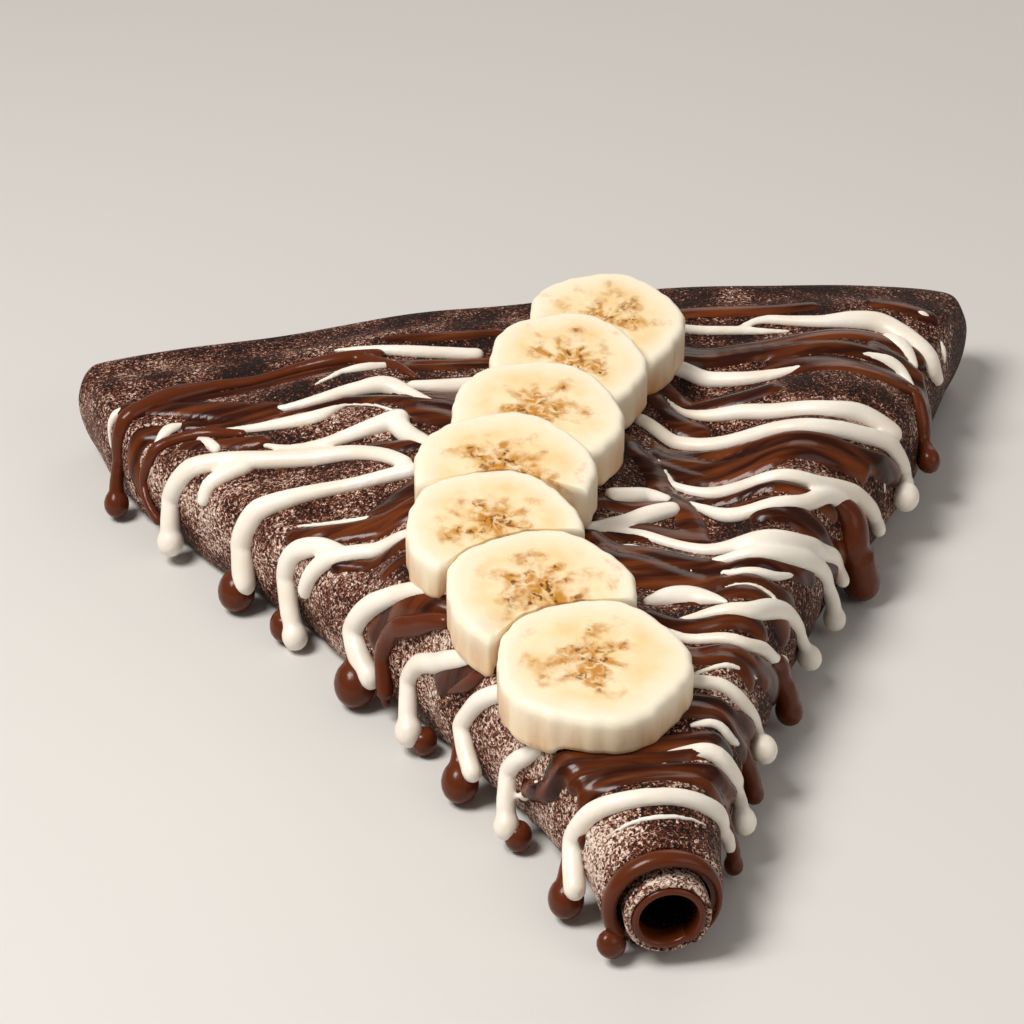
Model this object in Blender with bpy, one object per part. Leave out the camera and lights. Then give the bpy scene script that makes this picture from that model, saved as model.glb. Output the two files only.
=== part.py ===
"""A rolled banana crepe, folded to a fan, with banana slices and drizzled chocolate. Metres, +Z up."""

import math
import random
from collections import namedtuple

import bmesh
import bpy
from mathutils import Vector

MM = 0.001
GAP = 0.3 * MM
TOUCH = 0.001 * MM
SHORT_EDGE = 0.04 * MM
WELD = 0.01 * MM

# The folded crepe, from the open end of its roll to its wide folded back
CREPE_LENGTH = 182 * MM
MIDDLE = 91 * MM  # the frame's origin lies this far along the crepe
HALF_WIDTHS = (  # (place along the crepe, half its width there)
    (0.0, 9.4 * MM),
    (9 * MM, 10.9 * MM),
    (40 * MM, 23 * MM),
    (90 * MM, 48.5 * MM),
    (140 * MM, 79 * MM),
    (173 * MM, 88.5 * MM),
)
EDGE_RADIUS = 11.5 * MM
TIP_SHIFT = -3.2 * MM
RIGHT_FLARE = (  # (place along the crepe, how much wider its right side is there)
    (90 * MM, 0.0),
    (115 * MM, 1.0 * MM),
    (130 * MM, -0.5 * MM),
    (140 * MM, -2.2 * MM),
    (150 * MM, -1.4 * MM),
    (160 * MM, 0.8 * MM),
    (170 * MM, 3.6 * MM),
    (180 * MM, 4.6 * MM),
)
LEFT_BOW = 6 * MM
RIGHT_BOW = 1 * MM
BOW_REACH = 90 * MM
BOW_FROM = 110 * MM
BACK_NARROWING = 0.05

# Its round sides, in degrees of turn from the right over the top, and their bulges
SIDE_TURN = 38.0
SIDE_RIPPLE = 0.03
RIPPLE_PITCH = 17.5 * MM
RIPPLE_FROM = 10 * MM
RIPPLE_FULL = 30 * MM
FLATTEN_TIP = 1.05
FLATTEN_BACK = 1.35
FLATTEN_OVER = 60 * MM

# Its top: soft ridges as (share of the half width, spread, height), which end in the heights of the back
RIDGES = (
    (-0.40, 0.26, 4.5 * MM),
    (0.76, 0.20, 5.8 * MM),
)
BACK_HEIGHTS = (  # (share of the half width, height)
    (-1.0, -1.5 * MM),
    (-0.8, -2.3 * MM),
    (-0.6, -2.3 * MM),
    (-0.4, -1.2 * MM),
    (-0.2, 0.3 * MM),
    (0.0, 0.9 * MM),
    (0.3, 2.7 * MM),
    (0.55, 1.9 * MM),
    (0.75, 2.4 * MM),
    (1.0, 1.5 * MM),
)
VALLEY_PLACE = 25 * MM
VALLEY_WIDTH = 10 * MM
VALLEY_DEPTH = 2.2 * MM
VALLEY_FROM = 50 * MM
RELIEF_FROM = 14 * MM
RELIEF_FULL = 80 * MM
BACK_FROM = 125 * MM
RELIEF_LOW, RELIEF_HIGH = 0.35, 0.95  # sines of the turns between which the relief grows
BED_LOW, BED_HIGH = 0.30, 0.85

# The mesh of the crepe
FIRST_STATION = 4.5 * MM
STATION_STEP = 7.4 * MM
TOP_STEPS = 20
SIDE_STEPS = 3
BACK_CLOSINGS = (0.94, 0.80, 0.60, 0.38, 0.17)
TIP_ROUND = 0.5 * MM
TIP_BEVEL = 0.4

# The hollow in the roll, its lining of chocolate and the inner roll
BORE_RADIUS = 8.4 * MM
BORE_DEPTH = 34 * MM
BORE_HEIGHT = 9.5 * MM
BORE_END = 0.9  # its end is this much narrower over its last millimetre
LINING_RADIUS = BORE_RADIUS - GAP
LINING_HOLE = 7.2 * MM
LINING_FRONT = 1.4 * MM
LINING_DEPTH = 31 * MM
LIP_RADIUS = 8.5 * MM
LIP_THICKNESS = 1.25 * MM
LIP_FROM = -35.0
LIP_TO = 215.0
LIP_FRONT = 1.7 * MM
LIP_STEPS = 16
LIP_TAPER = 0.2
LIP_BEAD = 2.2 * MM
LIP_BEAD_SIDE = -11.4 * MM
LIP_BEAD_FRONT = 2.7 * MM
LIP_BEAD_HEIGHT = 3.4 * MM
INNER_RADIUS = LINING_HOLE - GAP
INNER_HEIGHT = 9.1 * MM
INNER_HOLE = 4.9 * MM
INNER_LAYER = 0.55 * MM
INNER_SEAM = -50.0
INNER_FRONT = 5 * MM
INNER_DEPTH = 29 * MM
ROUND_STEPS = 36

# The row of banana slices, back to front: centre from the tip, side place, radius, tilt, turn of its ridges
Slice = namedtuple("Slice", "station side radius tilt turn")
SLICES = (
    Slice(144.0 * MM, 12.1 * MM, 14.8 * MM, 11.0, 10.0),
    Slice(127.6 * MM, 2.1 * MM, 14.6 * MM, 10.5, 47.0),
    Slice(105.9 * MM, -6.9 * MM, 15.4 * MM, 9.5, 80.0),
    Slice(87.9 * MM, -15.1 * MM, 15.8 * MM, 8.5, 25.0),
    Slice(72.2 * MM, -19.2 * MM, 14.8 * MM, 7.5, 61.0),
    Slice(54.4 * MM, -13.9 * MM, 15.4 * MM, 6.5, 5.0),
    Slice(35.9 * MM, -8.2 * MM, 15.5 * MM, 5.5, 33.0),
)
SLICE_FRONT = 6.9 * MM  # height of a slice's wall at its front
SLICE_WALL = 9.5 * MM  # its wall is at most this high where the crepe falls away below it
SLICE_SIDES = 25
SLICE_RIDGES = 5
SLICE_RIDGE_DEPTH = 0.03
SLICE_UNEVEN = 0.015
SLICE_EDGE = 0.7 * MM
SLICE_BEVEL = 0.96
SLICE_GAP = 0.6 * MM
SLICE_CUT = 0.35 * MM
SLICE_STRETCH = 7 * MM  # the room cut out of the slice behind reaches this far above and below

# The bed that the row has pressed into the crepe, as (place along the crepe, height)
BED = (
    (10 * MM, 20.0 * MM),
    (30 * MM, 22.6 * MM),
    (52 * MM, 25.0 * MM),
    (72 * MM, 26.6 * MM),
    (91 * MM, 26.8 * MM),
    (110 * MM, 25.4 * MM),
    (130 * MM, 24.5 * MM),
    (165 * MM, 24.4 * MM),
)
BED_FLAT = 13 * MM
BED_FADE = 23 * MM
BED_START, BED_FULL = 8 * MM, 20 * MM
BED_ENDING, BED_END = 156 * MM, 168 * MM
ROW = tuple((piece.station, piece.side) for piece in reversed(SLICES))

# The drizzle, in millimetres. A rope starts and ends at a reach over the skin from the crepe's middle line,
# or runs on over the EDGE of its side to a drip. Its places along the crepe lie at even steps of that reach.
LEFT, RIGHT = -1, 1
EDGE = None
Drip = namedtuple("Drip", "place height radius")
Rope = namedtuple("Rope", "side start end places radius drip", defaults=(None,))
WHITE_ROPES = (
    Rope(LEFT, 11, 38, (153.5, 155.5, 159), 1.3),
    Rope(LEFT, 11, 25, (139.5, 138.5, 138.5), 1.6),
    Rope(LEFT, 22, 56, (129, 137.8, 138, 137.1, 137.5, 139.8), 1.4),
    Rope(LEFT, 40, 60, (130, 128.6, 130.3, 134.2), 1.3),
    Rope(LEFT, 25, 55, (112.5, 122, 121.3, 122, 125.7), 1.5),
    Rope(LEFT, 29, EDGE, (107, 115.6, 118.2, 120.5, 122.8, 124.4, 126.5), 1.85, Drip(124, 4.1, 2.8)),
    Rope(LEFT, 58, 67.3, (120.5, 119.4, 117.8), 1.6),
    Rope(LEFT, 28, EDGE, (104.8, 106.3, 107.4, 107, 107.3), 1.75, Drip(105.8, 4.0, 2.0)),
    Rope(LEFT, 42, EDGE, (87.5, 92, 95.5, 96), 1.75, Drip(90, 2.9, 2.6)),
    Rope(LEFT, 29, 55, (81, 86, 88, 90), 1.6),
    Rope(LEFT, 26, EDGE, (63, 67, 71, 74.5, 77), 1.8, Drip(72.5, 4.8, 2.0)),
    Rope(LEFT, 20, EDGE, (46.5, 50, 54.5, 59, 61.5), 1.7, Drip(58.5, 3.0, 2.7)),
    Rope(LEFT, 20, EDGE, (39, 43.5, 46.5), 1.65, Drip(42.5, 4.9, 1.8)),
    Rope(LEFT, 17, EDGE, (27.5, 29.3, 31.2, 33), 1.55, Drip(30, 2.6, 2.3)),
    Rope(LEFT, 0, EDGE, (8.7, 9.2, 10.3, 11.6, 13), 1.7, Drip(7.0, 7.0, 1.8)),
    Rope(RIGHT, 0, EDGE, (8.7, 8.9, 9.5, 10.8, 12.5), 1.5, Drip(12.2, 8.5, 1.2)),
    Rope(RIGHT, 2, EDGE, (19.2, 20, 19.8, 20.6, 24), 1.65, Drip(18.5, 8.2, 2.3)),
    Rope(RIGHT, 9, 20, (26.5, 27.3, 27.2, 29), 1.0),
    Rope(RIGHT, 10, EDGE, (36.7, 36.2, 35.9, 37, 39), 1.35, Drip(34.5, 10.2, 2.5)),
    Rope(RIGHT, 9.5, EDGE, (51, 49.5, 47.6, 50, 52.7, 57), 1.25, Drip(54.8, 8.7, 1.0)),
    Rope(RIGHT, 12, EDGE, (54.6, 54.6, 56.5, 61, 66), 1.6, Drip(65.8, 6.2, 2.4)),
    Rope(RIGHT, 8, 20, (60, 62, 61.5, 58), 1.9),
    Rope(RIGHT, 22, 36, (69.5, 67.5, 67.3, 70), 1.0),
    Rope(RIGHT, 21.5, EDGE, (72.5, 71.3, 73.5, 77.5, 81.5), 1.65, Drip(81, 3.8, 2.3)),
    Rope(RIGHT, 0.5, EDGE, (82, 84.7, 78.5, 74.6, 76.5, 82, 87), 1.6, Drip(85.5, 9.0, 1.5)),
    Rope(RIGHT, 21, 55, (93.5, 88, 85.7, 87.2, 92.5, 95.5), 1.6),
    Rope(RIGHT, 19.5, EDGE, (102.5, 97.7, 93.5, 93.3, 96.6, 99.9, 103.5), 1.7, Drip(102, 9.0, 1.6)),
    Rope(RIGHT, 16, EDGE, (122, 118.5, 113.4, 109.1, 110.5, 113.5, 116.5), 1.8, Drip(110.5, 10.2, 2.8)),
    Rope(RIGHT, 24, 66.5, (130, 126, 123.5, 119.5, 116.5, 117.6, 117), 1.9),
    Rope(RIGHT, 21, 50, (140.5, 140.3, 138.5, 136.5, 135.3), 1.6),
    Rope(RIGHT, 42, 76, (157.6, 158.6, 156.6, 155.2, 154.6, 147.5), 2.1),
    Rope(RIGHT, 73, 83.5, (151.5, 147, 145, 146), 2.1),
    Rope(RIGHT, 69.5, 74.5, (147.5, 145.5, 141.5), 1.6),
    Rope(RIGHT, 27, 51, (158, 157, 156, 154.3), 1.1),
    Rope(RIGHT, 64, 74, (139.9, 139.5, 136.9, 131), 1.3),
    Rope(RIGHT, 6.5, 17, (93, 94.5, 96, 94.7), 1.75),
    Rope(RIGHT, 1, 17.3, (83, 86.5, 88.8, 91), 1.6),
)
MILK_ROPES = (
    Rope(LEFT, 30, EDGE, (155, 155.2, 155.5, 154.8, 155, 152.5, 147, 145), 1.55, Drip(140.5, 3.2, 2.2)),
    Rope(LEFT, 58, EDGE, (131, 135.5, 136, 135, 135.5), 1.2, Drip(128.5, 6.1, 1.3)),
    Rope(LEFT, 60, EDGE, (106, 105.5), 1.3, Drip(106, 3.4, 3.0)),
    Rope(LEFT, 50, EDGE, (97, 95), 1.1, Drip(94, 2.3, 1.9)),
    Rope(LEFT, 44, EDGE, (75.5, 75), 1.5, Drip(70.8, 3.7, 3.3)),
    Rope(LEFT, 27, EDGE, (57.5, 62.5, 67, 69), 1.7, Drip(64.5, 3.2, 1.7)),
    Rope(LEFT, 20, EDGE, (44, 47, 50.5, 53.5), 1.3, Drip(54, 2.9, 2.6)),
    Rope(LEFT, 26, EDGE, (45, 45), 1.4, Drip(41.2, 3.8, 3.4)),
    Rope(LEFT, 20, EDGE, (28.5, 28), 1.1, Drip(26.3, 2.7, 2.4)),
    Rope(LEFT, 10, EDGE, (12, 11.5), 1.5, Drip(8.6, 3.8, 3.2)),
    Rope(RIGHT, 72, EDGE, (131, 129.5), 1.4, Drip(123.5, 10.2, 2.5)),
    Rope(RIGHT, 50, EDGE, (96, 93), 1.9, Drip(92.2, 3.4, 3.0)),
    Rope(RIGHT, 30, EDGE, (53, 53.5), 1.4, Drip(53.2, 4.3, 2.6)),
    Rope(RIGHT, 19, EDGE, (31, 31.5), 1.2, Drip(32, 3.8, 1.9)),
    Rope(RIGHT, 11, EDGE, (14.5, 15), 1.2, Drip(15.3, 2.3, 1.8)),
)
ROPE_STEP = 6 * MM
ROPE_LIFT = 0.15  # a rope's centre lies this share of its radius above the skin
ROPE_START = ((0.0, 0.5), (0.6, 1.0))  # (place in radii from the tip, share of the radius)
BEAD_ROUND = ((1.0, 0.66), (0.0, 1.0), (-0.62, 0.80), (-0.92, 0.36))
DRIP_OUT = 0.8 * MM  # a bead stands out this far and BEAD_OUT of its radius beyond the crepe's side
BEAD_OUT = 0.6
DRIP_LEAN = 0.55
DRIP_NECK = 2.2  # a drip longer than this many radii of its bead has a neck

# The looks that the solids carry
CREPE_BROWN = (0.055, 0.020, 0.012)
CREPE_ROUGHNESS = 0.6
MILK_BROWN = (0.16, 0.045, 0.012)
MILK_ROUGHNESS = 0.25
BANANA_YELLOW = (0.90, 0.74, 0.45)
BANANA_ROUGHNESS = 0.45


def smooth(low, high, value):
    """Soft step from 0 at low to 1 at high."""
    share = min(max((value - low) / (high - low), 0.0), 1.0)
    return share * share * (3.0 - 2.0 * share)


def along(points, value):
    """Smooth curve through (place, size) points."""
    if value <= points[0][0]:
        return points[0][1]
    if value >= points[-1][0]:
        return points[-1][1]
    last = len(points) - 1
    first = next(i for i in range(last) if value < points[i + 1][0])
    slopes = []
    for i in (first, first + 1):
        before, after = points[max(i - 1, 0)], points[min(i + 1, last)]
        slopes.append((after[1] - before[1]) / (after[0] - before[0]))
    (start, size), (end, next_size) = points[first], points[first + 1]
    step = end - start
    t = (value - start) / step
    curve = (2 * t ** 3 - 3 * t ** 2 + 1) * size + (3 * t ** 2 - 2 * t ** 3) * next_size
    return curve + step * ((t ** 3 - 2 * t ** 2 + t) * slopes[0] + (t ** 3 - t ** 2) * slopes[1])


def relief(station, x, share):
    """Height of the soft ridges and the valley on top of the crepe."""
    back = smooth(BACK_FROM, CREPE_LENGTH, station)
    height = along(BACK_HEIGHTS, share) * back
    for place, spread, ridge in RIDGES:
        height += ridge * (1.0 - back) * math.exp(-(((share - place) / spread) ** 2))
    valley = VALLEY_DEPTH * smooth(VALLEY_FROM, RELIEF_FULL, station) * (1.0 - back)
    height -= valley * math.exp(-(((x - VALLEY_PLACE) / VALLEY_WIDTH) ** 2))
    return height * smooth(RELIEF_FROM, RELIEF_FULL, station)


def bed_share(station, x):
    """How far the skin at a place follows the bed of the row."""
    row = along(ROW, station)
    ends = smooth(BED_START, BED_FULL, station) * (1.0 - smooth(BED_ENDING, BED_END, station))
    return ends * (1.0 - smooth(BED_FLAT, BED_FADE, abs(x - row)))


def skin_point(station, turn):
    """Point on the crepe at a place along it; turn 0 is its right side, 90 its top, 180 its left side."""
    angle = math.radians(turn % 360.0)
    cosine, sine = math.cos(angle), math.sin(angle)
    width = along(HALF_WIDTHS, station)
    if cosine > 0.0:
        width += along(RIGHT_FLARE, station)
    ripple = SIDE_RIPPLE * math.sin(math.tau * station / RIPPLE_PITCH)
    ripple *= smooth(RIPPLE_FROM, RIPPLE_FULL, station)
    radius = min(EDGE_RADIUS * (1.0 + ripple), width)
    turn_from_right = math.degrees(math.acos(max(-1.0, min(1.0, cosine))))
    spread = 1.0 - 2.0 * smooth(SIDE_TURN, 180.0 - SIDE_TURN, turn_from_right)
    x = (width - radius) * spread + radius * cosine
    shift = TIP_SHIFT * (1.0 - station / CREPE_LENGTH)
    if sine >= 0.0:
        z = radius * (1.0 + sine) + relief(station, x, x / width) * smooth(RELIEF_LOW, RELIEF_HIGH, sine)
        z += (along(BED, station) - z) * bed_share(station, x + shift) * smooth(BED_LOW, BED_HIGH, sine)
    else:
        flatten = FLATTEN_TIP + (FLATTEN_BACK - FLATTEN_TIP) * smooth(0.0, FLATTEN_OVER, station)
        z = radius * (1.0 - min(1.0, flatten * -sine))
    into_back = min(max((station - CREPE_LENGTH + EDGE_RADIUS) / EDGE_RADIUS, 0.0), 1.0)
    closing = math.sqrt(1.0 - into_back ** 2)
    z = EDGE_RADIUS + (z - EDGE_RADIUS) * closing
    x *= 1.0 - BACK_NARROWING * (1.0 - closing)
    bow = RIGHT_BOW if cosine > 0.0 else LEFT_BOW
    y = station - MIDDLE - bow * (x / BOW_REACH) ** 2 * smooth(BOW_FROM, CREPE_LENGTH, station)
    return Vector((x + shift, y, z))


def skin_normal(station, turn):
    """Direction straight out of the skin."""
    over = skin_point(station, turn + 1.0) - skin_point(station, turn - 1.0)
    ahead = skin_point(station + MM, turn) - skin_point(station - MM, turn)
    return ahead.cross(over).normalized()


def turn_at_reach(station, side, reach):
    """Turn at which a walk over the skin from the middle line to one side has gone this far."""
    turn = 90.0
    here = skin_point(station, turn)
    direction = side if reach >= 0.0 else -side
    left = abs(reach)
    while left > 0.0:
        there = skin_point(station, turn - direction)
        step = (there - here).length
        if step >= left:
            return turn - direction * left / step
        left -= step
        turn -= direction
        here = there
    return turn


def edge_reach(station, side):
    """Length of the walk from the middle line to the widest line of one side."""
    turns = range(0, 91) if side == RIGHT else range(90, 181)
    points = [skin_point(station, turn) for turn in turns]
    return sum((b - a).length for a, b in zip(points, points[1:]))


def rope_line(rope):
    """Centre line of a rope and its radii: over the skin, then down the crepe's side to its drip."""
    last = rope.places[-1] * MM
    start = rope.start * MM
    end = edge_reach(last, rope.side) if rope.end is EDGE else rope.end * MM
    places = [(i / (len(rope.places) - 1), place * MM) for i, place in enumerate(rope.places)]
    length = math.hypot(end - start, places[-1][1] - places[0][1])
    steps = max(2, round(length / ROPE_STEP))
    radius = rope.radius * MM
    line = []
    for i in range(steps + 1):
        station = along(places, i / steps)
        reach = start + (end - start) * i / steps
        turn = turn_at_reach(station, rope.side, reach)
        centre = skin_point(station, turn) + skin_normal(station, turn) * ROPE_LIFT * radius
        line.append((centre, radius))
    line = round_start(line)
    if rope.drip:
        return line + drip_line(rope, line[-1][0], radius)
    return round_start(line[::-1])[::-1]


def round_start(line):
    """The same line with a rounded tip at its first point."""
    (first, radius), (second, _) = line[0], line[1]
    forward = (second - first).normalized()
    tip = [(first + forward * radius * (place - 1.0), radius * share) for place, share in ROPE_START]
    return tip + line[1:]


def drip_line(rope, edge, radius):
    """The hanging end of a rope, from the crepe's widest line down to a rounded bead."""
    bead = rope.drip.radius * MM
    low = Vector((0.0, rope.drip.place * MM - MIDDLE, rope.drip.height * MM))
    low.x = skin_point(rope.drip.place * MM, 0.0 if rope.side == RIGHT else 180.0).x
    low.x += rope.side * (DRIP_OUT + BEAD_OUT * bead)
    lean = edge.lerp(low, DRIP_LEAN)
    lean.x = max(edge.x, low.x) if rope.side == RIGHT else min(edge.x, low.x)
    down = (low - lean).normalized()
    line = []
    if (low - lean).length > DRIP_NECK * bead:
        line.append((lean, radius))
    return line + [(low - down * bead * place, bead * share) for place, share in BEAD_ROUND]


def material(name, colour, roughness):
    """Principled material of one colour."""
    made = bpy.data.materials.new(name)
    made.use_nodes = True
    shader = made.node_tree.nodes["Principled BSDF"]
    shader.inputs["Base Color"].default_value = (*colour, 1.0)
    shader.inputs["Roughness"].default_value = roughness
    made.diffuse_color = (*colour, 1.0)
    return made


def collection(name):
    made = bpy.data.collections.new(name)
    bpy.context.scene.collection.children.link(made)
    return made


def mesh_object(name, form, home, look=None):
    """Object from a finished bmesh."""
    bmesh.ops.recalc_face_normals(form, faces=form.faces)
    mesh = bpy.data.meshes.new(name)
    form.to_mesh(mesh)
    form.free()
    made = bpy.data.objects.new(name, mesh)
    home.objects.link(made)
    if look:
        mesh.materials.append(look)
    mesh.shade_smooth()
    return made


def loft(rings, cap_start=False, cap_end=False, closed=False):
    """Bmesh skin over closed rings of equal count."""
    form = bmesh.new()
    made = [[form.verts.new(point) for point in ring] for ring in rings]
    count = len(rings[0])
    for ring, after in zip(made, made[1:] + made[:1] * closed):
        for i in range(count):
            j = (i + 1) % count
            form.faces.new((ring[i], ring[j], after[j], after[i]))
    if cap_start:
        form.faces.new(made[0][::-1])
    if cap_end:
        form.faces.new(made[-1])
    return form


def apply_modifiers(made):
    """Bakes the object's modifiers into its mesh."""
    bpy.context.view_layer.update()
    evaluated = made.evaluated_get(bpy.context.evaluated_depsgraph_get())
    old = made.data
    made.modifiers.clear()
    made.data = bpy.data.meshes.new_from_object(evaluated)
    bpy.data.meshes.remove(old)


def circle(radius, centre_x, y, centre_z, turns):
    """Ring of points across the crepe's long axis."""
    points = []
    for turn in turns:
        angle = math.radians(turn)
        points.append(Vector((centre_x + radius * math.cos(angle), y, centre_z + radius * math.sin(angle))))
    return points


def section_turns():
    """Turns of one section: close together on the round sides, even over the top and mirrored below."""
    side = [SIDE_TURN * i / SIDE_STEPS for i in range(SIDE_STEPS)]
    top = [SIDE_TURN + (180.0 - 2.0 * SIDE_TURN) * i / TOP_STEPS for i in range(TOP_STEPS + 1)]
    upper = side + top + [180.0 - turn for turn in reversed(side)]
    return upper + [360.0 - turn for turn in upper[-2:0:-1]]


def crepe_body():
    """The folded crepe as a loft along its length, with the hollow of its roll at the tip."""
    turns = section_turns()
    bore_y = [BORE_DEPTH, BORE_DEPTH - MM, BORE_DEPTH / 2.0, TIP_ROUND]
    shrink = [BORE_END, 1.0, 1.0, 1.0]
    rings = []
    for y, share in zip(bore_y, shrink):
        rings.append(circle(BORE_RADIUS * share, TIP_SHIFT, y - MIDDLE, BORE_HEIGHT, turns))
    rings.append([point.lerp(skin_point(0.0, turn), TIP_BEVEL) for point, turn in zip(rings[-1], turns)])
    for point in rings[-1]:
        point.y = -MIDDLE
    stations = [TIP_ROUND, FIRST_STATION]
    straight_end = CREPE_LENGTH - EDGE_RADIUS
    count = round((straight_end - stations[-1]) / STATION_STEP)
    stations += [stations[-1] + (straight_end - stations[-1]) * (i + 1) / count for i in range(count)]
    stations += [straight_end + EDGE_RADIUS * math.sqrt(1.0 - closing ** 2) for closing in BACK_CLOSINGS]
    rings += [[skin_point(station, turn) for turn in turns] for station in stations]
    form = loft(rings, cap_start=True)
    close_back(form, len(turns))
    flat = [face for face in form.faces if all(vert.co.z < TOUCH for vert in face.verts)]
    bmesh.ops.dissolve_faces(form, faces=flat, use_verts=True)
    return form


def close_back(form, count):
    """Strips between the upper and the lower half of the last ring, which mirror each other."""
    form.verts.ensure_lookup_table()
    last = form.verts[len(form.verts) - count:]
    half = count // 2
    for i in range(half):
        above = (last[i], last[i + 1])
        below = (last[(count - i) % count], last[count - i - 1])
        corners = [above[0], above[1], below[1], below[0]]
        form.faces.new(list(dict.fromkeys(corners)))


def rope_object(name, line, home):
    """A rope as a poly curve of round section, made a closed mesh."""
    curve = bpy.data.curves.new(name, "CURVE")
    curve.dimensions = "3D"
    curve.bevel_depth = MM
    curve.bevel_resolution = 1
    curve.use_fill_caps = True
    spline = curve.splines.new("POLY")
    spline.points.add(len(line) - 1)
    for point, (centre, radius) in zip(spline.points, line):
        point.co = (*centre, 1.0)
        point.radius = radius / MM
    guide = bpy.data.objects.new(name, curve)
    home.objects.link(guide)
    bpy.context.view_layer.update()
    mesh = bpy.data.meshes.new_from_object(guide.evaluated_get(bpy.context.evaluated_depsgraph_get()))
    form = bmesh.new()
    form.from_mesh(mesh)
    bmesh.ops.remove_doubles(form, verts=form.verts, dist=WELD)
    bpy.data.objects.remove(guide)
    bpy.data.meshes.remove(mesh)
    bpy.data.curves.remove(curve)
    return mesh_object(name, form, home)


def combine(base, pieces, operation):
    """One Boolean of the base with a collection of pieces, which is then removed."""
    boolean = base.modifiers.new("Combine", "BOOLEAN")
    boolean.operation = operation
    boolean.operand_type = "COLLECTION"
    boolean.collection = pieces
    boolean.solver = "MANIFOLD"
    apply_modifiers(base)
    for piece in list(pieces.objects):
        bpy.data.objects.remove(piece)
    bpy.data.collections.remove(pieces)


def tidy(made):
    """Merges the ends of tiny edges where the mesh stays closed, drops scraps and fills sealed hollows."""
    form = bmesh.new()
    form.from_mesh(made.data)
    for edge in sorted(form.edges, key=lambda edge: edge.calc_length()):
        if not edge.is_valid or edge.calc_length() > SHORT_EDGE:
            continue
        first, second = edge.verts
        shared = neighbours(first) & neighbours(second)
        triangles = [face for face in edge.link_faces if len(face.verts) == 3]
        if len(shared) == len(triangles):
            bmesh.ops.pointmerge(form, verts=[first, second], merge_co=first.co)
    shells = connected(form)
    largest = max(shells, key=len)
    bmesh.ops.delete(form, geom=[vert for vert in form.verts if vert not in largest], context="VERTS")
    form.to_mesh(made.data)
    form.free()
    made.data.shade_smooth()


def neighbours(vert):
    return {edge.other_vert(vert) for edge in vert.link_edges}


def connected(form):
    """The mesh's separate shells, as sets of vertices."""
    left = set(form.verts)
    shells = []
    while left:
        shell = {left.pop()}
        edge = list(shell)
        while edge:
            edge = list(set().union(*(neighbours(vert) for vert in edge)) - shell)
            shell.update(edge)
        left -= shell
        shells.append(shell)
    return shells


def crepe(home, look):
    """The crepe with its drizzle and drips fused on."""
    made = mesh_object("crepe", crepe_body(), home, look)
    ropes = collection("drizzle")
    for kind, rows in (("white", WHITE_ROPES), ("milk", MILK_ROPES)):
        for i, rope in enumerate(rows):
            rope_object(f"{kind}_{i}", rope_line(rope), ropes)
    combine(made, ropes, "UNION")
    return made


def slice_outline(piece, rng):
    """Five soft ridges round a banana slice, slightly uneven, as sizes at even turns."""
    sizes = []
    for i in range(SLICE_SIDES):
        ridge = math.cos(math.tau * SLICE_RIDGES * i / SLICE_SIDES + math.radians(piece.turn))
        sizes.append(piece.radius * (1.0 + SLICE_RIDGE_DEPTH * ridge + SLICE_UNEVEN * rng.uniform(-1.0, 1.0)))
    return sizes


def skin_height(x, station):
    """Height of the crepe's top at a place."""
    before = skin_point(station, 20.0)
    for turn in range(21, 161):
        here = skin_point(station, turn)
        if here.x <= x:
            share = (before.x - x) / (before.x - here.x)
            return before.z + (here.z - before.z) * share
        before = here
    return before.z


def slice_rings(piece, sizes, grow=0.0, stretch=0.0):
    """Rings of a slice from its underside, which follows the crepe, to its tilted upper face."""
    slope = math.tan(math.radians(piece.tilt))
    front = along(BED, piece.station - piece.radius) + SLICE_FRONT
    levels = (
        (False, SLICE_BEVEL, 0.0),
        (False, 1.0, SLICE_EDGE),
        (True, 1.0, -SLICE_EDGE),
        (True, SLICE_BEVEL, 0.0),
    )
    rings = []
    for upper, share, lift in levels:
        ring = []
        for i, size in enumerate(sizes):
            angle = math.tau * i / SLICE_SIDES
            reach = (size + grow) * share
            x = piece.side + reach * math.cos(angle)
            across = reach * math.sin(angle)
            top = front + (across + piece.radius) * slope
            under = max(skin_height(x, piece.station + across) + SLICE_GAP, top - SLICE_WALL)
            z = top + stretch if upper else under - stretch
            ring.append(Vector((x, piece.station + across - MIDDLE, z + lift)))
        rings.append(ring)
    return rings


def slice_object(name, piece, sizes, home, look=None, grow=0.0, stretch=0.0):
    """A slice, or with a look of None the room for it, wider by grow and taller by twice stretch."""
    form = loft(slice_rings(piece, sizes, grow, stretch), cap_end=True)
    form.verts.ensure_lookup_table()
    underside = form.verts[:SLICE_SIDES]
    height = skin_height(piece.side, piece.station) + SLICE_GAP - stretch
    centre = form.verts.new((piece.side, piece.station - MIDDLE, height))
    for i, vert in enumerate(underside):
        form.faces.new((vert, centre, underside[(i + 1) % SLICE_SIDES]))
    return mesh_object(name, form, home, look)


def banana_slices(home, look, rng):
    """The row of slices; each slice in front lies over the one behind it, which ends where it meets it."""
    sizes = [slice_outline(piece, rng) for piece in SLICES]
    for i, (piece, size) in enumerate(zip(SLICES, sizes)):
        made = slice_object(f"banana_slice_{i + 1}", piece, size, home, look)
        if i + 1 < len(SLICES):
            room = collection("room")
            slice_object("room", SLICES[i + 1], sizes[i + 1], room, grow=SLICE_CUT, stretch=SLICE_STRETCH)
            combine(made, room, "DIFFERENCE")
            tidy(made)
    return sizes


def room_for_slices(crepe_object, sizes):
    """Trims the drizzle where the slices lie."""
    rooms = collection("rooms")
    for piece, size in zip(SLICES, sizes):
        slice_object("room", piece, size, rooms, grow=GAP, stretch=GAP)
    combine(crepe_object, rooms, "DIFFERENCE")
    tidy(crepe_object)


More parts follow.
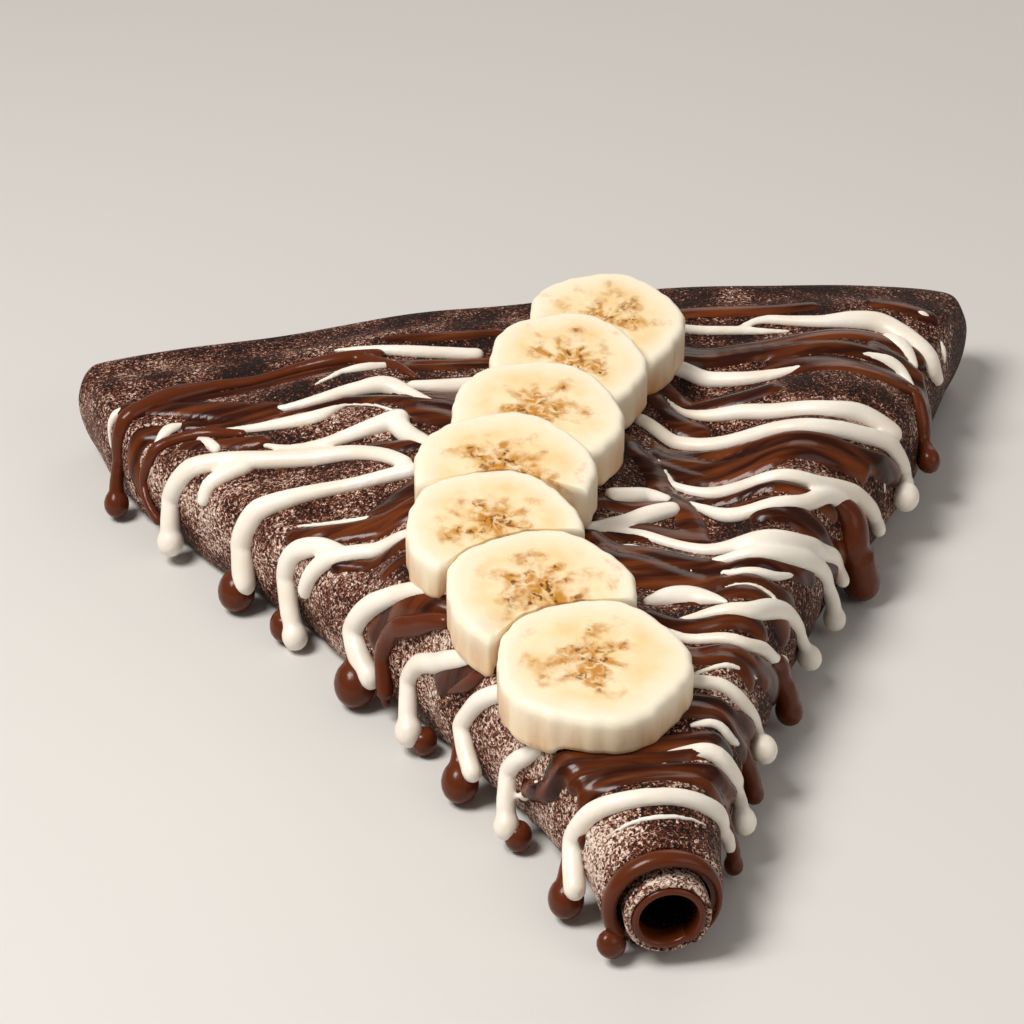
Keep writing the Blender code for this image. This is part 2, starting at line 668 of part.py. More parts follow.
def filling(home, look):
    """Lining of milk chocolate in the hollow, with a lip that has run over the roll's open end."""
    turns = [360.0 * i / ROUND_STEPS for i in range(ROUND_STEPS)]
    rings = [
        circle(LINING_RADIUS, TIP_SHIFT, -MIDDLE - LINING_FRONT, BORE_HEIGHT, turns),
        circle(LINING_RADIUS, TIP_SHIFT, LINING_DEPTH - MIDDLE, BORE_HEIGHT, turns),
        circle(LINING_HOLE, TIP_SHIFT, LINING_DEPTH - MIDDLE, INNER_HEIGHT, turns),
        circle(LINING_HOLE, TIP_SHIFT, -MIDDLE - LINING_FRONT, INNER_HEIGHT, turns),
    ]
    made = mesh_object("filling", loft(rings, closed=True), home, look)
    line = []
    for i in range(LIP_STEPS + 1):
        share = i / LIP_STEPS
        turn = LIP_FROM + (LIP_TO - LIP_FROM) * share
        centre = circle(LIP_RADIUS, TIP_SHIFT, -MIDDLE - LIP_FRONT, BORE_HEIGHT, [turn])[0]
        line.append((centre, LIP_THICKNESS * (1.0 - LIP_TAPER * (1.0 - share))))
    line = round_start(line)
    low = Vector((LIP_BEAD_SIDE, -MIDDLE - LIP_BEAD_FRONT, LIP_BEAD_HEIGHT))
    down = (low - line[-1][0]).normalized()
    line = line[:-1] + [(low - down * LIP_BEAD * place, LIP_BEAD * share) for place, share in BEAD_ROUND]
    lip = collection("lip")
    rope_object("lip_rope", line, lip)
    combine(made, lip, "UNION")
    tidy(made)


def inner_roll(home, look):
    """The inner roll at the tip, a rolled-up layer whose end shows as a step round its side."""
    turns = [INNER_SEAM + 360.0 * i / ROUND_STEPS for i in range(ROUND_STEPS)]
    wall = [(INNER_RADIUS - INNER_LAYER * i / ROUND_STEPS, INNER_HOLE - INNER_LAYER * i / ROUND_STEPS)
            for i in range(ROUND_STEPS)]

    def ring(y, round_edge, inner):
        points = []
        for turn, (outer_size, hole_size) in zip(turns, wall):
            size = hole_size + round_edge if inner else outer_size - round_edge
            points += circle(size, TIP_SHIFT, y - MIDDLE, INNER_HEIGHT, [turn])
        return points

    front, back = -INNER_FRONT, INNER_DEPTH
    rings = [
        ring(front + TIP_ROUND, 0.0, False),
        ring(back, 0.0, False),
        ring(back, 0.0, True),
        ring(front + TIP_ROUND, 0.0, True),
        ring(front, TIP_ROUND, True),
        ring(front, TIP_ROUND, False),
    ]
    return mesh_object("inner_roll", loft(rings, closed=True), home, look)


def main():
    for old in list(bpy.data.objects):
        bpy.data.objects.remove(old)
    rng = random.Random(5)
    home = collection("banana_crepe")
    folded = crepe(home, material("chocolate_crepe", CREPE_BROWN, CREPE_ROUGHNESS))
    inner_roll(home, material("inner_crepe", CREPE_BROWN, CREPE_ROUGHNESS))
    filling(home, material("milk_chocolate", MILK_BROWN, MILK_ROUGHNESS))
    sizes = banana_slices(home, material("banana", BANANA_YELLOW, BANANA_ROUGHNESS), rng)
    room_for_slices(folded, sizes)


main()
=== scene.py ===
"""Looks of a rolled banana crepe with drizzled chocolate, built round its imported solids. Metres, +Z up."""

import math
import random
from collections import namedtuple

import bmesh
import bpy
import numpy as np
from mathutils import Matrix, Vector, noise


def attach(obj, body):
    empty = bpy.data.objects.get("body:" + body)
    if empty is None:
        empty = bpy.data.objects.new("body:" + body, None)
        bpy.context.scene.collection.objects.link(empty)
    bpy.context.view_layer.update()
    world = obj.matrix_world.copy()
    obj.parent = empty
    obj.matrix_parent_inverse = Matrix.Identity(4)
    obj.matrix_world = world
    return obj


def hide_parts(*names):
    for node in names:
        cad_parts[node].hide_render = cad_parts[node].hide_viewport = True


bl_info = {
    "name": "Banana crepe",
    "version": (1, 0, 0),
    "blender": (4, 5, 0),
    "location": "3D View > Sidebar > Crepe",
    "description": "Builds a rolled crepe with banana slices, milk chocolate and white chocolate",
    "category": "Add Mesh",
}

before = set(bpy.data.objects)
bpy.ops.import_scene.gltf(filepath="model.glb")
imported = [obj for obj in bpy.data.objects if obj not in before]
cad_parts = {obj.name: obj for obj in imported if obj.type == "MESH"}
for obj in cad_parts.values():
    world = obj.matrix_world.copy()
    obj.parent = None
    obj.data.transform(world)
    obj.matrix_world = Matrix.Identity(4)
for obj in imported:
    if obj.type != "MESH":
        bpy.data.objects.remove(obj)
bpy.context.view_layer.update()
BODY = "root"
MM = 0.001


def metres(*points):
    """Points that are given in millimetres."""
    return tuple(tuple(size * MM for size in point) for point in points)


# The folded crepe, as in its solid. A pair named START, END, RISE or FADE says where a change begins and is
# done: as a place along the crepe or, for RISE and FADE, as the sine or cosine of the turn round it.
CREPE_LENGTH = 182 * MM
MIDDLE = 91 * MM
HALF_WIDTHS = metres((0, 9.4), (9, 10.9), (40, 23), (90, 48.5), (140, 79), (173, 88.5))
EDGE_RADIUS = 11.5 * MM
TIP_SHIFT = -3.2 * MM
RIGHT_FLARE = metres(
    (90, 0), (115, 1.0), (130, -0.5), (140, -2.2), (150, -1.4), (160, 0.8), (170, 3.6), (180, 4.6),
)
LEFT_BOW = 6 * MM
RIGHT_BOW = 1 * MM
BOW_REACH = 90 * MM
BOW_FROM = 110 * MM
BACK_NARROWING = 0.05
SIDE_TURN = 38.0
SIDE_RIPPLE = 0.03
RIPPLE_PITCH = 17.5 * MM
RIPPLE_START = (10 * MM, 30 * MM)
FLATTEN_TIP = 1.05
FLATTEN_BACK = 1.35
FLATTEN_REACH = 60 * MM
RIDGES = (
    (-0.40, 0.26, 4.5 * MM),
    (0.76, 0.20, 5.8 * MM),
)
BACK_HEIGHTS = (
    (-1.0, -1.5 * MM),
    (-0.8, -2.3 * MM),
    (-0.6, -2.3 * MM),
    (-0.4, -1.2 * MM),
    (-0.2, 0.3 * MM),
    (0.0, 0.9 * MM),
    (0.3, 2.7 * MM),
    (0.55, 1.9 * MM),
    (0.75, 2.4 * MM),
    (1.0, 1.5 * MM),
)
VALLEY_PLACE = 25 * MM
VALLEY_WIDTH = 10 * MM
VALLEY_DEPTH = 2.2 * MM
VALLEY_FROM = 50 * MM
RELIEF_FROM = 14 * MM
RELIEF_FULL = 80 * MM
RELIEF_FADE = (0.35, 0.95)
BACK_FROM = 125 * MM

# Softer unevenness that the solid leaves out: lumps as (waves across, waves along per metre, height, shift)
LUMPS = (
    (70.0, 130.0, 0.22 * MM, 0.3),
    (-115.0, 95.0, 0.18 * MM, 1.9),
    (160.0, -60.0, 0.15 * MM, 4.0),
    (45.0, -190.0, 0.14 * MM, 2.2),
)
LUMPS_START = (4 * MM, 25 * MM)
LUMPS_FADE = (-0.2, 0.4)
PINCH_DEPTH = 0.8 * MM
PINCH_WIDTH = 3.0 * MM
PINCH_FADE = (0.3, 0.9)

# The skin's mesh: its turns over the top and the sides and underneath, and its rows along the crepe and round
# the back. Then the turns that a walk over the skin takes, and those of its top, where the row of slices is.
TOP_TURNS = (-30.0, 210.0, 260)
UNDER_TURNS = (210.0, 330.0, 62)
WALK_TURNS = (-80.0, 261.0)
ROW_TURNS = (20.0, 161.0)
SKIN_ROWS = 165
BACK_ROWS = 22

# Painted light and shade on the crumb, which move its colour towards the pale painted glints or away from
# them:
# painted highlight on the left and at the tip, painted shade underneath and at the back, and darker all over
PAINTED_HIGHLIGHT_LEFT = 0.055
PAINTED_HIGHLIGHT_TIP = 0.035
PAINTED_SHADE_UNDER = 0.02
PAINTED_SHADE_BACK = 0.03
CRUMB_DARKER_ALL = 0.038
LEFT_FADE = (0.35, 0.95)
UNDER_FADE = (0.0, 0.6)
TIP_END = (15 * MM, 70 * MM)
BACK_START = (120 * MM, 160 * MM)

# The hollow in the roll, its lining and the inner roll
TIP_ROUND = 0.5 * MM
BORE_RADIUS = 8.4 * MM
BORE_DEPTH = 34 * MM
BORE_HEIGHT = 9.5 * MM
BORE_ROWS = (
    (BORE_DEPTH, 0.0),
    (BORE_DEPTH, 0.9),
    (BORE_DEPTH - MM, 1.0),
    (4 * MM, 1.0),
    (TIP_ROUND, 1.0),
)
RIM_SHARES = (0.25, 0.5, 0.8)
RIM_ROUND = 1.2
LINING_POINTS = 96
LINING_RADIUS = 8.1 * MM
LINING_HOLE = 7.2 * MM
LINING_FRONT = 1.4 * MM
LINING_DEPTH = 31 * MM
LIP_RADIUS = 8.5 * MM
LIP_THICKNESS = 1.25 * MM
LIP_STEPS = 60
LIP_THIN = 0.3
LIP_SWELL = 0.75
LIP_SWELLED = 0.5
LIP_SHARP = 50.0
LIP_WIDE = 1.25
LIP_FROM = -35.0
LIP_TO = 215.0
LIP_FRONT = 1.7 * MM
LIP_BEAD = 2.2 * MM
LIP_BEAD_PLACE = (-11.4 * MM, -2.7 * MM, 3.4 * MM)
INNER_RADIUS = 6.9 * MM
INNER_HEIGHT = 9.1 * MM
INNER_HOLE = 4.9 * MM
INNER_LAYER = 0.55 * MM
INNER_SEAM = -50.0
INNER_FRONT = 5 * MM
INNER_DEPTH = 29 * MM
INNER_POINTS = 180
# Sections of the inner roll's edge and of its chocolate rim, as (outwards, behind the front) in mm: the
# edge from the roll's outside, the middle of its wall or its hole, and the rim from its hole
INNER_EDGE = (
    ("outer", 0.0, 0.7),
    ("outer", -0.12, 0.25),
    ("outer", -0.4, 0.0),
    ("middle", 0.25, 0.02),
    ("middle", 0.0, 0.54),
    ("middle", -0.25, 0.05),
    ("hole", 0.35, 0.1),
    ("hole", 0.1, 0.35),
    ("hole", 0.0, 0.9),
)
RIM_EDGE = (
    (1.0, 1.5), (1.0, 0.1), (0.8, -0.25), (0.4, -0.4), (0.0, -0.25), (-0.2, 0.3), (-0.2, 3.0), (0.2, 3.6),
    (1.0, 1.5),
)
# Painted light and shade on the inner roll's crumb: how much paler its outside and edge are, then the painted
# shade in its hole's front and back, and the closing row
ROLL_EDGE_PALER = 0.06
HOLE_PAINTED_SHADE = (-0.12, -0.3, 0.06)

# The row of banana slices, back to front
Slice = namedtuple("Slice", "station side radius tilt turn core")
SLICES = (
    Slice(144.0 * MM, 12.1 * MM, 14.8 * MM, 11.0, 10.0, 90.0),
    Slice(127.6 * MM, 2.1 * MM, 14.6 * MM, 10.5, 47.0, 100.0),
    Slice(105.9 * MM, -6.9 * MM, 15.4 * MM, 9.5, 80.0, 60.0),
    Slice(87.9 * MM, -15.1 * MM, 15.8 * MM, 8.5, 25.0, 80.0),
    Slice(72.2 * MM, -19.2 * MM, 14.8 * MM, 7.5, 61.0, 50.0),
    Slice(54.4 * MM, -13.9 * MM, 15.4 * MM, 6.5, 5.0, 95.0),
    Slice(35.9 * MM, -8.2 * MM, 15.5 * MM, 5.5, 33.0, 40.0),
)
SLICE_FRONT = 6.9 * MM
SLICE_WALL = 8.2 * MM
SLICE_SIDES = 25
SLICE_RIDGES = 5
SLICE_RIDGE_DEPTH = 0.03
SLICE_UNEVEN = 0.015
SLICE_GAP = 0.25 * MM
SLICE_SEED = 5
SLICE_POINTS = 150
SLICE_ROUNDING = 6
DIP_UNDER = 0.5 * MM
DIP_WIDTH = 5 * MM
SLICE_EDGE = 1.6 * MM
CORNER_BLEND = 4.5 * MM
# Levels of a slice's wall, then of its upper edge as (share of SLICE_EDGE down, share of the outline)
WALL_LEVELS = 9
WALL_FOOT = 0.96
WALL_FADE = 0.75
EDGE_ROUND = ((0.6, 0.993), (0.3, 0.975), (0.1, 0.95), (0.0, 0.91))
FACE_SHARES = (0.87, 0.82, 0.76, 0.67, 0.57, 0.46, 0.35, 0.25, 0.16, 0.08, 0.0)
FACE_WAVE = 0.12 * MM
FACE_WAVE_SIZE = 5 * MM
# Fine ribs of the peeled side: (height, ribs round the slice, shift a slice)
SLICE_RIBS = (
    (0.006, 17, 1),
    (0.004, 29, 2),
)
BED = metres(
    (10, 20.0), (30, 22.6), (52, 25.0), (72, 26.6), (91, 26.8), (110, 25.4), (130, 24.5), (165, 24.4),
)
BED_FLAT = 13 * MM
BED_FADE = 23 * MM
BED_START = (8 * MM, 20 * MM)
BED_END = (156 * MM, 168 * MM)
BED_RISE = (0.3, 0.85)
ROW = tuple((piece.station, piece.side) for piece in reversed(SLICES))

# The drizzle, in millimetres: a rope runs from one reach over the skin to another, or over the EDGE to its
# drip, and its places along the crepe and its radii lie at even steps of that reach. A rope without a
# start is a lone bead. A drip is its bead's place along the crepe, height and radius and, where it isn't the
# usual one, its distance out from the crepe's widest line.
LEFT, RIGHT = -1, 1
EDGE = None
Drip = namedtuple("Drip", "place height radius out", defaults=(None,))
Rope = namedtuple("Rope", "side start end places radius drip", defaults=(None,))
Band = namedtuple("Band", "side start end places width thickness")


def by_side(kind, *groups):
    """Ropes or bands from groups of a side and its rows."""
    return tuple(kind(side, *row) for side, rows in groups for row in rows)


WHITE_ROPES = by_side(Rope, (LEFT, (
    (11, 38, (153.5, 155.5, 159), (1.5, 1.4, 0.5)),
    (28, 39, (148, 146.8, 146.2), (0.8, 1.2, 0.6)),
    (38.5, 43, (145.3, 142.8), (0.7, 0.4)),
    (11, 25, (139.5, 138.5, 138.5), (1.8, 1.7, 1.2)),
    (22, 63, (129, 137.8, 138, 137.1, 137.5, 139.8, 143.5), (0.5, 2.1, 1.65, 1.3, 0.9, 0.6, 0.4)),
    (29, 38, (124.5, 128.5, 131.5), (0.4, 0.45, 0.4)),
    (38, 65, (131.5, 128.4, 129.2, 131.2, 134.2, 136.8), (0.5, 1.5, 1.5, 1.2, 0.9, 0.4)),
    (25, 29.5, (112.5, 117, 122), (1.6, 2.0, 2.0)),
    (29, 60, (122.5, 121.5, 121.3, 123.4, 129.5), (2.2, 1.6, 1.1, 0.7, 0.4)),
    (29, EDGE, (107, 115.6, 118.2, 120.5, 122.8, 124.4, 126.5),
     (1.4, 1.7, 1.9, 1.9, 1.9, 2.0, 2.0), Drip(123, 4.4, 2.8)),
    (58, 67.3, (120.5, 119.4, 117.8), (1.8, 1.7, 1.3)),
    (28, EDGE, (104.8, 106.3, 107.4, 107, 107.3), (1.6, 1.4, 1.6, 2.1, 2.35), Drip(103.6, 6.2, 2.4)),
    (34.5, 50, (95, 96.5, 98.5, 100.4), (0.4, 0.7, 0.6, 0.4)),
    (42, EDGE, (87.5, 92, 95.5, 96), (0.8, 1.8, 1.9, 1.95), Drip(90, 2.9, 2.6)),
    (29, 55, (81, 86, 88, 90), (1.3, 1.6, 1.7, 1.5)),
    (26, EDGE, (63, 67, 71, 74.5, 77), (1.2, 1.6, 1.8, 2.1, 2.25), Drip(69.6, 6.8, 2.35)),
    (20, EDGE, (46.5, 50, 54.5, 59, 61.5), (1.0, 1.6, 1.8, 1.75, 1.75), Drip(56.2, 4.1, 2.7, 3.5)),
    (20, EDGE, (39, 43.5, 46.5), (1.5, 1.7, 1.8), Drip(39.4, 7.0, 1.85)),
    (17, EDGE, (27.5, 29.3, 31.2, 33), (1.2, 1.5, 1.65, 1.75), Drip(27.6, 4.4, 2.4, 3.5)),
    (20.5, 28, (24.5, 26.5, 29), (0.5, 1.0, 0.9)),
    (0, EDGE, (8.7, 9.2, 10.3, 11.6, 13), (1.4, 1.5, 1.65, 1.85, 1.95), Drip(7.0, 7.0, 2.0)),
)), (RIGHT, (
    (0, EDGE, (8.7, 8.9, 9.5, 10.8, 12.5), (1.4, 1.45, 1.5, 1.6, 1.3), Drip(12.2, 8.5, 1.2)),
    (-8.5, 9, (6.0, 5.6, 5.7, 6.6), (0.3, 0.5, 0.5, 0.3)),
    # A thin white strand that stands for a painted highlight: a glint on the milk chocolate at the tip
    (-3, 3.5, (16.4, 16.9, 17.2), (0.35, 0.5, 0.3)),
    (0, EDGE, (18.4, 19.5, 20, 19.7, 20.6, 24), (0.5, 1.1, 1.5, 1.8, 1.9, 1.4), Drip(18.5, 8.2, 2.3)),
    (9, 20.5, (26.5, 27.3, 27.2, 29.5), (0.6, 0.95, 0.95, 0.5)),
    (10, EDGE, (36.7, 36.2, 35.9, 37, 39), (1.3, 1.3, 1.35, 1.3, 1.25), Drip(34.5, 10.2, 2.5)),
    (11, 25.5, (38.5, 40.3, 41.6, 43.5), (0.4, 0.6, 0.7, 0.4)),
    (9.5, EDGE, (51, 49.5, 47.6, 50, 52.7, 57), (1.0, 1.1, 1.3, 1.35, 1.3, 0.9), Drip(54.8, 8.7, 0.9)),
    (9.5, EDGE, (54, 55, 54.3, 59, 63, 66), (0.4, 1.1, 1.7, 1.9, 1.6, 1.3), Drip(65.8, 6.2, 2.4)),
    (8, 20.5, (60, 62, 61.5, 57), (1.2, 2.2, 2.2, 0.5)),
    (20, 36, (70.5, 67.5, 67.3, 70), (0.4, 0.9, 1.0, 0.6)),
    (20, 31, (65, 63.3, 62.5), (0.3, 0.45, 0.6)),
    (15, 18.5, (76, 72, 65.5), (0.4, 0.6, 0.3)),
    (21.5, EDGE, (72.5, 71.3, 73.5, 77.5, 81.5), (1.0, 1.5, 1.8, 1.7, 1.5), Drip(81, 3.8, 2.3)),
    (0.5, EDGE, (82, 84.7, 78.5, 74.6, 76.5, 82, 87),
     (0.9, 1.1, 1.3, 1.7, 1.9, 1.7, 1.4), Drip(85.5, 9.0, 1.5)),
    (4.5, 11, (78, 79, 76.5), (0.7, 0.9, 0.6)),
    (19.5, 55, (95.5, 88.4, 85.7, 87.2, 92.5, 95.5), (0.4, 1.45, 1.5, 1.6, 1.8, 1.6)),
    (16.5, 19.5, (113, 108, 103), (0.4, 0.6, 0.9)),
    (19.5, EDGE, (102.5, 97.7, 93.5, 93.3, 96.6, 99.9, 103.5),
     (0.8, 1.5, 1.55, 1.6, 1.7, 1.8, 1.6), Drip(102, 9.0, 1.6)),
    # A thin white rope that stands for a painted highlight: a glint along the milk chocolate on the right
    (38, 68, (103, 104.7, 104.7, 106.5, 108.5, 107), (0.3, 0.4, 0.4, 0.4, 0.45, 0.3)),
    (16, EDGE, (122, 118.5, 113.4, 109.1, 110.5, 113.5, 116.5),
     (1.5, 1.7, 1.75, 1.8, 1.8, 1.9, 1.7), Drip(110.5, 10.2, 2.8)),
    (22, 66.5, (132, 126.3, 123.6, 119.6, 116.5, 117.6, 117), (0.4, 1.3, 1.7, 1.8, 2.0, 2.2, 2.0)),
    (27, 40, (134, 130.8, 128), (0.4, 0.55, 0.4)),
    (21, 55, (140.5, 140.3, 138.3, 136.2, 135.2, 136.3), (1.7, 1.8, 1.75, 1.6, 1.1, 0.4)),
    (27, 51, (158, 157, 156, 154.3), (1.1, 1.1, 1.0, 0.5)),
    (40.5, 76, (157, 158.8, 157.3, 155.5, 155, 153.8, 147.5), (0.4, 1.0, 1.3, 1.6, 2.3, 2.6, 2.3)),
    (73, 83.5, (151.5, 147, 145, 146), (2.5, 2.3, 2.0, 1.4)),
    (69.5, 74.5, (147.5, 145.5, 141.5), (1.6, 1.8, 0.9)),
    # Two small white specks that stand for painted highlights: pale glints at the back-right corner
    (78, 81, (160.5, 159.8), (0.5, 0.9, 0.5)),
    (83.5, 86.5, (155.5, 153.5), (0.4, 0.8, 0.4)),
    (60, 75, (140.2, 140, 139.8, 139.3, 136.8, 129), (0.4, 0.8, 1.2, 1.6, 1.3, 0.4)),
    (6.5, 17, (93, 94.5, 96, 94.7), (1.6, 1.8, 1.8, 1.2)),
    (1, 17.3, (83, 86.5, 88.8, 91), (0.8, 1.3, 1.8, 1.6)),
)), (LEFT, (
    (77.5, 88, (150.8, 150.5, 149.5, 147), (0.5, 1.1, 0.6, 0.3)),
    (68.5, 74.5, (140, 139, 136), (0.5, 1.4, 0.5)),
    (63.3, 66, (127, 131, 134.5), (1.1, 1.2, 0.6)),
)))
MILK_ROPES = by_side(Rope, (LEFT, (
    (24, 34, (141.5, 146.5, 151, 154.6), (0.7, 1.2, 1.5, 1.4)),
    (30, EDGE, (155, 155.2, 155.5, 154.8, 155, 152.5, 147, 145),
     (1.4, 1.7, 1.3, 1.2, 1.6, 2.4, 1.8, 1.4), Drip(140.5, 3.2, 2.7)),
    (58, EDGE, (131, 135.5, 136, 135, 135.5), (1.0, 1.4, 1.3, 1.3, 1.1), Drip(128.5, 6.1, 1.2)),
    (62.5, EDGE, (107.3, 107.3), (0.6, 1.3), Drip(104.8, 3.9, 3.8)),
    (None, EDGE, (93,), (2.0,), Drip(93.2, 3.2, 3.1, 2.6)),
    (47.5, EDGE, (77, 77), (0.6, 1.4), Drip(71.4, 4.2, 4.1)),
    (27, EDGE, (57.5, 62.5, 67, 69), (1.4, 2.0, 2.0, 1.7), Drip(65.5, 4.0, 0.9)),
    (20, 33, (44, 47, 50.5), (0.9, 1.4, 0.6)),
    (None, EDGE, (56,), (2.0,), Drip(55.4, 2.5, 2.5, 1.4)),
    (32.4, EDGE, (46.6, 46.6), (0.6, 1.4), Drip(41.2, 3.7, 3.5)),
    (None, EDGE, (28,), (2.0,), Drip(27.0, 2.6, 2.6, 1.9)),
    (16, EDGE, (13, 13), (0.6, 1.4), Drip(8.8, 3.6, 3.2)),
)), (RIGHT, (
    (72, EDGE, (133, 130, 128), (1.0, 1.9, 2.2), Drip(123.5, 10.2, 2.6)),
    (50, EDGE, (93, 94, 93), (1.4, 3.1, 3.8), Drip(92.3, 4.2, 3.9)),
    (31.5, EDGE, (51, 53, 53.3), (0.9, 1.9, 2.2), Drip(53.2, 4.3, 2.7)),
    (22, EDGE, (31, 31.5), (0.9, 1.6), Drip(31.6, 3.8, 2.0)),
    (15.5, EDGE, (14.7, 15), (0.7, 1.2), Drip(15.3, 2.3, 1.8)),
)))
ROPE_LIFT = 0.15
ROPE_WIDE = 1.03
ROPE_FLAT = 0.92
ROPE_STEP = 1.2 * MM
ROPE_POINTS = 14
BEAD_ROUND = (
    (0.93, 0.52), (0.75, 0.75), (0.45, 0.92), (0.1, 1.0), (-0.3, 0.95), (-0.62, 0.78), (-0.86, 0.5),
    (-0.97, 0.22),
)
ROUND_TIP = ((0.92, 0.35), (0.7, 0.7), (0.35, 0.93))
DRIP_OUT = 0.8 * MM
BEAD_OUT = 0.6
DRIP_LEAN = 0.55
# In bead radii: the fall that gives a drip a stem, how near the bead's centre the stem ends, how thick it
# grows, and the most that its neck may be. The neck counts above NECK_FROM in BEAD_ROUND.
LONG_FALL = 1.7
BEAD_CLEAR = 1.05
DRIP_GROWTH = 0.8
NECK_MOST = 0.98
NECK_FROM = 0.3
DRIZZLE_VOXEL = 0.45 * MM
SOFTEN_SHARE = 0.5
SOFTEN_STEPS = 4

# Thin milk chocolate: bands as (start, end, places, half width, thickness), in millimetres
MILK_BANDS = by_side(Band, (LEFT, (
    # left side, back to front
    (6, 28, (160.5, 160, 160), 1.3, 0.6),
    (6, 27, (151, 150, 149.5), 1.3, 0.8),
    (6, 27, (147.5, 146.5, 145.8), 1.2, 0.9),
    (26, 68, (148.5, 151, 152, 151, 151.5), 1.9, 0.6),
    (52, 79, (138, 140, 143.5, 148, 151), 2.8, 1.0),
    (58, 78, (140.5, 145.5, 151), 3.0, 0.9),
    (36, 68, (133.5, 133.5, 134.5, 136, 139.5), 1.5, 0.9),
    (18, 38, (126.5, 128, 131.5, 134), 2.2, 0.9),
    (18, 28, (130, 131.5, 136), 1.4, 0.7),
    (12, 26, (134.5, 134.5, 134), 2.2, 0.7),
    (72, 86, (139, 139.5, 136), 2.2, 0.7),
    (55, 68, (126, 128.5, 132.5), 1.9, 0.8),
    (20, 34, (110.5, 113, 116), 2.3, 0.9),
    (17, 26, (122, 123, 124.5), 2.6, 0.9),
    (26, 35, (101, 99, 96.5), 2.8, 0.9),
    (28, 51, (93.5, 92.8, 93.5, 95.5, 97.5), 2.2, 1.0),
    (27, 44, (89.8, 90.2, 92), 1.5, 0.8),
    (29, 45, (80, 81, 83.5, 86), 1.5, 0.8),
    (27, 37, (73, 75, 76), 1.4, 0.5),
    (25, 46, (61, 64.5, 68, 70), 2.8, 1.0),
    (19, 34, (45, 47, 50.5, 53), 2.0, 1.0),
    # over the middle in front of the row, from left to right
    (25, -12, (27.5, 21.2, 19.2, 18.6, 18.6, 19.2, 20.3), 1.4, 1.4),
    (17, -16, (22, 21.3, 21.1, 21.8, 24), 1.4, 0.5),
    (12, -18, (16.9, 16.1, 15.9, 16.6, 18.6), 1.1, 1.2),
    (11, -19, (14.2, 13.7, 13.3, 13.6, 14.6, 16.6), 1.6, 0.5),
    (15, 10, (10.5, 13, 15.5), 1.3, 0.8),
)), (RIGHT, (
    # right side, back to front
    (24, 57, (163, 162.8, 162), 1.9, 0.8),
    (70, 81, (163, 162, 160), 2.2, 0.6),
    (22, 75, (147.5, 147, 147.5, 148, 147.5, 145), 2.9, 1.0),
    (22, 75, (144, 143.8, 143.4, 142, 140.5, 139), 2.2, 1.1),
    (46, 76, (137.5, 136, 134.8, 134.2, 133), 3.4, 1.0),
    (66, 87, (142, 139.5, 134, 128), 2.6, 0.9),
    (20, 43, (136, 131.5, 129.5, 128.5), 2.6, 0.9),
    (18, 28, (134, 127, 122), 2.4, 0.8),
    (19, 70, (114.5, 110.5, 107.5, 106, 107.3, 111.5), 1.9, 1.0),
    (18, 45, (111, 106.5, 104.2, 103.6), 2.4, 1.0),
    (18, 39, (107, 102.8, 101), 1.7, 0.9),
    (37, 58, (103.6, 103.3, 103.5, 105), 2.2, 1.2),
    (10, 19, (117, 108, 103), 2.4, 0.8),
    (17, 21, (104, 97, 91, 85), 2.5, 0.9),
    (2, 17, (90.3, 91.5, 92.5), 1.8, 0.6),
    (4, 21, (84.5, 85.5, 84, 83), 2.6, 0.9),
    (22, 50, (95, 92, 90, 90.5), 1.4, 0.8),
    (29, 58, (88, 86, 84.6, 85, 89), 2.2, 1.0),
    (33, 60, (84.8, 82.8, 82.4, 84.5, 89), 2.2, 0.9),
    (2, 21, (80, 77, 74, 71.5), 2.6, 0.9),
    (3, 21, (75, 71.5, 68.5, 66.5), 2.6, 1.0),
    (6, 20, (69.5, 67, 65), 2.4, 0.8),
    (17, 37, (67, 65.6, 64.6, 66), 1.8, 0.8),
    (12, 35, (62.5, 60.6, 59.6, 59.2), 2.4, 1.0),
    (20, 43, (70.5, 69.5, 70.5, 74), 1.6, 0.6),
    (7, 27, (54.5, 53, 52.4, 53), 2.0, 0.9),
    (7, 28, (47.5, 46, 45, 44.5, 45.4), 1.9, 0.9),
    (7, 23, (44, 42.5, 41.5), 1.6, 0.8),
    (25, 37, (45.5, 48, 51), 2.4, 0.9),
    (6, 25, (33, 32.6, 32.5, 35), 1.7, 0.8),
    (7, 25, (30.3, 29.8, 29.8, 32), 1.8, 1.0),
    (2, 17, (23, 23.5, 24.6), 1.5, 0.8),
)))
FILM_STEP = 0.7 * MM
FILM_STREAK = 0.07 * MM
# The film's grid, its height where there is none and where it is cut, and its furthest turn from the top
FILM_STATIONS = (2 * MM, 170 * MM)
FILM_REACHES = (-96 * MM, 100 * MM)
FILM_HIDDEN = -0.5 * MM
FILM_CUT = -0.2 * MM
FILM_TURN = 120.0
FILM_WANDER = 0.22 * MM
FILM_SEED = 11
FILM_SHIFT = 6.28
# Waves of the film's streaks: (weight, turn a metre along, turn a metre across)
FILM_WAVES = (
    (0.4, 900, 60),
    (0.35, 1450, -90),
    (0.3, 2100, 140),
    (0.5, 300, 210),
    (0.5, 260, -230),
)
BAND_STEPS = 60
BAND_CROWN = 0.6

# Camera: it looks from the tip's side, a little from the left
CAMERA_TARGET = (-7.5 * MM, 41.5 * MM, 0.0)
CAMERA_DISTANCE = 556 * MM
CAMERA_AZIMUTH = -8.0
CAMERA_ELEVATION = 30.5
CAMERA_VIEW = 20.0

